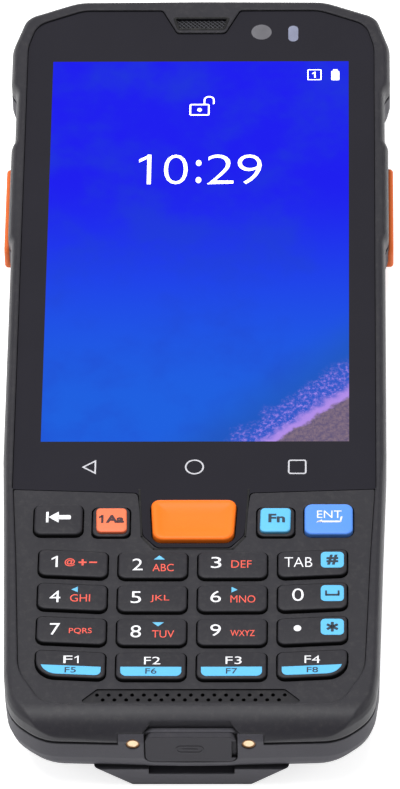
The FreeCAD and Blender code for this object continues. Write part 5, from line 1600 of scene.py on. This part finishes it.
@dataclass
class DisplayFace:
    """What shows on and behind the front glass."""

    finishes: dict[str, bpy.types.Material]
    film: float = 0.02
    line: float = 0.26
    clock_rise: float = 17.9
    figure_height: float = 6.8
    colon_height: float = 5.3
    padlock_rise: float = 32.7
    status_x: float = 19.85
    status_rise: float = 40.0
    battery_x: float = 23.6
    navigation_drop: float = 48.74

    def build(self) -> None:
        """Makes the clock, the status signs, the navigation signs and the sensors."""
        self._clock()
        self._padlock()
        self._status()
        self._navigation()
        self._sensors()

    def _flat(self, name: str, parts: Sequence[bpy.types.Object], finish: str) -> None:
        """Joins the parts of one sign and fixes them on the glass."""
        dress(join(name, parts), self.finishes[finish], HOUSING)

    def _levels(self) -> tuple[float, float]:
        """The lower and upper height of a sign on the glass."""
        return GLASS_FACE_Z - self.film / 2, GLASS_FACE_Z + self.film

    def _clock(self) -> None:
        """The time in thin figures."""
        middle_y = SCREEN_MIDDLE_Y + self.clock_rise
        figures = (("1", -9.4, 2.1), ("0", -4.05, 4.1), (":", -0.1, 0.95), ("2", 3.7, 4.5),
                   ("9", 8.75, 4.15))
        for index, (text, x, width) in enumerate(figures):
            height = self.colon_height if text == ":" else self.figure_height
            y = middle_y - 0.5 if text == ":" else middle_y
            weight = 0.0 if text == ":" else -0.016
            piece = words(f"clock_{index}", text, width, height, self.film, weight, 0.1)
            lay(piece, x, y, GLASS_FACE_Z + self.film / 2)
            dress(piece, self.finishes["screen_white"], HOUSING)

    def _padlock(self) -> None:
        """An open padlock in thin lines."""
        low, high = self._levels()
        x, y = 0.0, SCREEN_MIDDLE_Y + self.padlock_rise
        body = frame_ring("padlock_body", rectangle(x - 0.1, y - 0.9, 3.5, 2.7, 0.35), 0.27, low, high)
        dot = ring("padlock_dot", x - 0.1, y - 0.9, 0.4, 0, low, high, 16)
        bow = frame_ring("padlock_bow", rectangle(x + 1.55, y + 1.0, 1.9, 2.6, 0.9), 0.27, low, high)
        with editing(bow, Element.FACE):
            trim(0, y + 0.5, 0, -1)
        self._flat("screen_padlock", [body, dot, bow], "screen_white")

    def _status(self) -> None:
        """A boxed figure and a battery at the top right."""
        low, high = self._levels()
        x, y = self.status_x, SCREEN_MIDDLE_Y + self.status_rise
        box = frame_ring("status_box", rectangle(x + 0.1, y, 2.45, 2.5, 0.15), 0.16, low, high)
        self._flat("screen_status_box", [box], "screen_white")
        piece = words("screen_status_figure", "1", 0.6, 1.35, self.film, stroke_share=0.18)
        lay(piece, x, y, GLASS_FACE_Z + self.film / 2)
        dress(piece, self.finishes["screen_white"], HOUSING)
        cell = plate("battery_cell", rectangle(self.battery_x, y - 0.2, 1.4, 2.2, 0.2), low, high)
        cap = plate("battery_cap", rectangle(self.battery_x, y + 1.05, 0.75, 0.4, 0.08), low, high)
        self._flat("screen_battery", [cell, cap], "screen_white")

    def _navigation(self) -> None:
        """The three signs printed below the picture."""
        low, high = self._levels()
        y = SCREEN_MIDDLE_Y - self.navigation_drop
        line = self.line
        home = ring("nav_home", 0, y, 1.6, 1.6 - line, low, high)
        self._flat("nav_circle", [home], "nav_ink")
        square = frame_ring("nav_recent", rectangle(17.23, y, 3.1, 3.1, 0.45), line, low, high)
        self._flat("nav_square", [square], "nav_ink")
        deselect()
        bpy.ops.mesh.primitive_circle_add(vertices=3, radius=1.85 * MM, fill_type="NGON")
        back = named("nav_back")
        back.data.transform(Matrix.Rotation(math.pi / 2, 4, "Z"))
        fit(back, 2.4, 3.1, 0)
        back.data.transform(Matrix.Translation(Vector((-17.7, y, low)) * MM))
        with editing(back, Element.FACE):
            bpy.ops.mesh.select_all(action="SELECT")
            bpy.ops.mesh.inset(thickness=line * MM)
            bpy.ops.mesh.delete(type="FACE")
            thicken(high - low)
        self._flat("nav_triangle", [back], "nav_ink")

    def _sensors(self) -> None:
        """The camera and the light sensor, seen through clear spots in the border."""
        low, high = self._levels()
        middle = sum(box_of("front_camera"), Vector()) / 2
        spot = ring("front_camera_spot", middle.x, middle.y, 1.78, 0, low, high, 48)
        dress(spot, self.finishes["camera_smoke"], HOUSING)
        middle = sum(box_of("light_sensor"), Vector()) / 2
        pill = plate("light_sensor_spot", rectangle(middle.x, middle.y, 1.74, 3.74, 0.86), low, high, 10)
        dress(pill, self.finishes["sensor_smoke"], HOUSING)


@dataclass
class EarpieceScreen:
    """The woven wire in the earpiece slot."""

    finishes: dict[str, bpy.types.Material]
    pitch: float = 0.78
    wire: float = 0.17
    count: int = 9
    end_slope: float = 0.36
    rim_level: float = 16.3
    rim_width: float = 0.42
    rim_lean: float = 0.85
    rim_round: float = 0.6

    def build(self) -> None:
        """Makes crossed wires and trims them to the slot."""
        low, high = box_of("earpiece_mesh")
        middle = (low + high) / 2
        reach = high.x - low.x
        wires = []
        for way in (-1, 1):
            for i in range(-self.count, self.count + 1):
                deselect()
                bpy.ops.mesh.primitive_cylinder_add(
                    vertices=6, radius=self.wire / 2 * MM, depth=reach * MM,
                    rotation=(math.pi / 2, 0, way * math.pi / 4),
                    location=((middle.x + i * self.pitch) * MM, middle.y * MM,
                              (high.z + 0.08 + way * 0.05) * MM))
                wires.append(named(f"wire_{way}_{i}"))
        mesh = join("earpiece_weave", wires)
        with editing(mesh, Element.FACE):
            trim(0, high.y - 0.05, 0, 1)
            trim(0, low.y + 0.05, 0, -1)
            trim(high.x - 0.1, high.y, 1, -self.end_slope)
            trim(low.x + 0.1, high.y, -1, -self.end_slope)
        dress(mesh, self.finishes["mesh_steel"], HOUSING)
        self._rim(low, high)

    def _rim(self, low: Vector, high: Vector) -> None:
        """A black rim round the slot.

        Args:
            low: Lowest corner of the slot's mesh.
            high: Its highest corner.
        """
        grow = self.rim_width
        reach = (high.x - low.x) / 2 + grow
        foot = reach - self.rim_lean
        middle = (low.x + high.x) / 2
        corners = [(middle + x, y, self.rim_round)
                   for x, y in ((-foot, low.y - grow), (foot, low.y - grow), (reach, high.y + grow),
                                (-reach, high.y + grow))]
        rim = frame_ring("earpiece_rim", corners, grow, self.rim_level - 0.05, self.rim_level + 0.02)
        dress(rim, self.finishes["black_trim_and_shade"], HOUSING)


@dataclass
class GlassRim:
    """The black line where the glass dips round the scan key."""

    finishes: dict[str, bpy.types.Material]
    half_top: float = 8.62
    half_low: float = 6.6
    shoulder_y: float = -63.7
    low_y: float = -66.35
    start_y: float = -53.6
    line: float = 0.34
    flare: float = 0.5

    def build(self) -> None:
        """Makes the two sides, the two slants and the foot of the line."""
        low, high = GLASS_FACE_Z - 0.02, GLASS_FACE_Z + 0.015
        start, shoulder, foot = (y + SCREEN_MIDDLE_Y for y in (self.start_y, self.shoulder_y, self.low_y))
        parts = [plate("rim_foot", rectangle(0, foot, 2 * self.half_low, self.line, 0.05), low, high)]
        for side in (-1, 1):
            points = ((side * (self.half_top + self.flare), start), (side * self.half_top, shoulder),
                      (side * self.half_low, foot))
            parts += [self._stroke(one, other, low, high) for one, other in zip(points, points[1:])]
        dress(join("glass_tongue_rim", parts), self.finishes["black_trim_and_shade"], HOUSING)

    def _stroke(self, start: tuple[float, float], end: tuple[float, float], low: float,
                high: float) -> bpy.types.Object:
        """One straight length of the line, as a narrow plate.

        Args:
            start: Where it starts, in millimetres.
            end: Where it ends.
            low: Height of its lower face.
            high: Height of its upper face.

        Returns:
            The plate.
        """
        way = Vector(end) - Vector(start)
        piece = plate("rim_stroke", rectangle(0, 0, self.line, way.length + self.line / 2, 0.05), low, high)
        turn = math.atan2(-way.x, way.y)
        middle = (Vector(start) + Vector(end)) / 2
        piece.data.transform(Matrix.Translation(Vector((middle.x, middle.y, 0)) * MM)
                             @ Matrix.Rotation(turn, 4, "Z"))
        return piece


@dataclass
class BottomEnd:
    """Marks and rims at the connector end."""

    finishes: dict[str, bpy.types.Material]

    def build(self) -> None:
        """Makes the raised sign on the port cover and the rims of the contacts."""
        self._contact_rims()
        low, high = box_of("port_cover")
        middle = (low + high) / 2
        outer = frame_ring("sign_outer", rectangle(0, 0, 4.6, 1.9, 0.9), 0.28, 0, 0.12)
        inner = plate("sign_inner", rectangle(0, 0, 2.6, 0.34, 0.15), 0, 0.12)
        sign = join("port_cover_sign", [outer, inner])
        lay(sign, -0.2, low.y + 0.06, middle.z, facing=Facing.END)
        dress(sign, self.finishes["rubber_black"], "port_cover")

    def _contact_rims(self) -> None:
        """A dull rim round the face of each contact."""
        low, high = box_of("charge_contacts")
        radius = (high.z - low.z) / 2
        for side in (-1, 1):
            rim = ring(f"contact_rim_{side + 1}", 0, 0, radius, radius * 0.8, 0, 0.08)
            x = side * (high.x - radius)
            lay(rim, x, low.y, (low.z + high.z) / 2, facing=Facing.END)
            dress(rim, self.finishes["contact_rim"], HOUSING)


@dataclass
class BackDetails:
    """Flat black stars on the screw heads, painted shade standing in for their star recesses, and the ring
    round the rear camera.
    """

    finishes: dict[str, bpy.types.Material]
    star_shade_height: float = 4.99
    star_shade_radius: float = 0.98
    star_shade_waist: float = 0.66
    rim_outer: float = 3.3
    rim_inner: float = 2.5
    eye_radius: float = 2.0
    places: tuple = ((27.0, 42.0), (27.0, -10.0), (26.2, -58.0), (23.0, -94.0))

    def build(self) -> None:
        """Makes the painted star shades and the ring."""
        for index, (x, y) in enumerate(self.places):
            for side in (-1, 1):
                self._star_shade(f"screw_star_shade_{2 * index + (side + 1) // 2}", side * x, y + SCREEN_MIDDLE_Y)
        low, high = box_of("rear_camera")
        middle = (low + high) / 2
        rim = ring("rear_camera_rim", middle.x, middle.y, self.rim_outer, self.rim_inner, low.z - 0.12,
                   low.z + 0.02, 56)
        dress(rim, self.finishes["screw_steel"], HOUSING)
        eye = ring("rear_camera_eye", middle.x, middle.y, self.eye_radius, 0, low.z + 0.1, low.z + 0.29, 48)
        dress(eye, self.finishes["lens_black"], HOUSING)

    def _star_shade(self, name: str, x: float, y: float) -> None:
        """A flat black six-pointed sheet on one screw head: painted shade standing in for its star recess.

        Args:
            name: The piece's name.
            x: Place across, in millimetres.
            y: Place along.
        """
        star = ring(name, 0, 0, self.star_shade_radius, 0, 0, 0.04, 12)
        with editing(star, Element.VERT):
            pick(Element.VERT, lambda co, _n: round(math.degrees(math.atan2(co.x, co.y)) / 30) % 2 == 1)
            bpy.ops.transform.resize(value=(self.star_shade_waist, self.star_shade_waist, 1),
                                     center_override=(0, 0, 0))
        star.data.transform(Matrix.Translation(Vector((x, y, self.star_shade_height)) * MM))
        # Painted shade: the black star stands in for the shaded recess.
        dress(star, self.finishes["black_trim_and_shade"], HOUSING)


class Terminal:
    """The whole terminal: finishes for its solids, and every added piece."""

    def __init__(self, frame: dict) -> None:
        """Keeps the frame and makes the finishes.

        Args:
            frame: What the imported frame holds.
        """
        self.nodes = frame["nodes"]
        effects = Effects()
        self.finishes = {finish.name: finish.build(effects) for finish in FINISHES}

    def build(self) -> None:
        """Dresses the solids and adds the rest."""
        for name, node in self.nodes.items():
            wear(node, self.finishes[NODE_FINISH.get(name, "key_plastic")])
        for part in (Keypad(self.finishes), DisplayFace(self.finishes), EarpieceScreen(self.finishes),
                     GlassRim(self.finishes), BottomEnd(self.finishes), BackDetails(self.finishes)):
            part.build()
            LOG.info("%s finished", type(part).__name__)


def main() -> None:
    """Builds the scene in order."""
    logging.basicConfig(level=logging.INFO, format="%(message)s")
    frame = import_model()
    Studio().build()
    Terminal(frame).build()


if __name__ == "__main__":
    main()
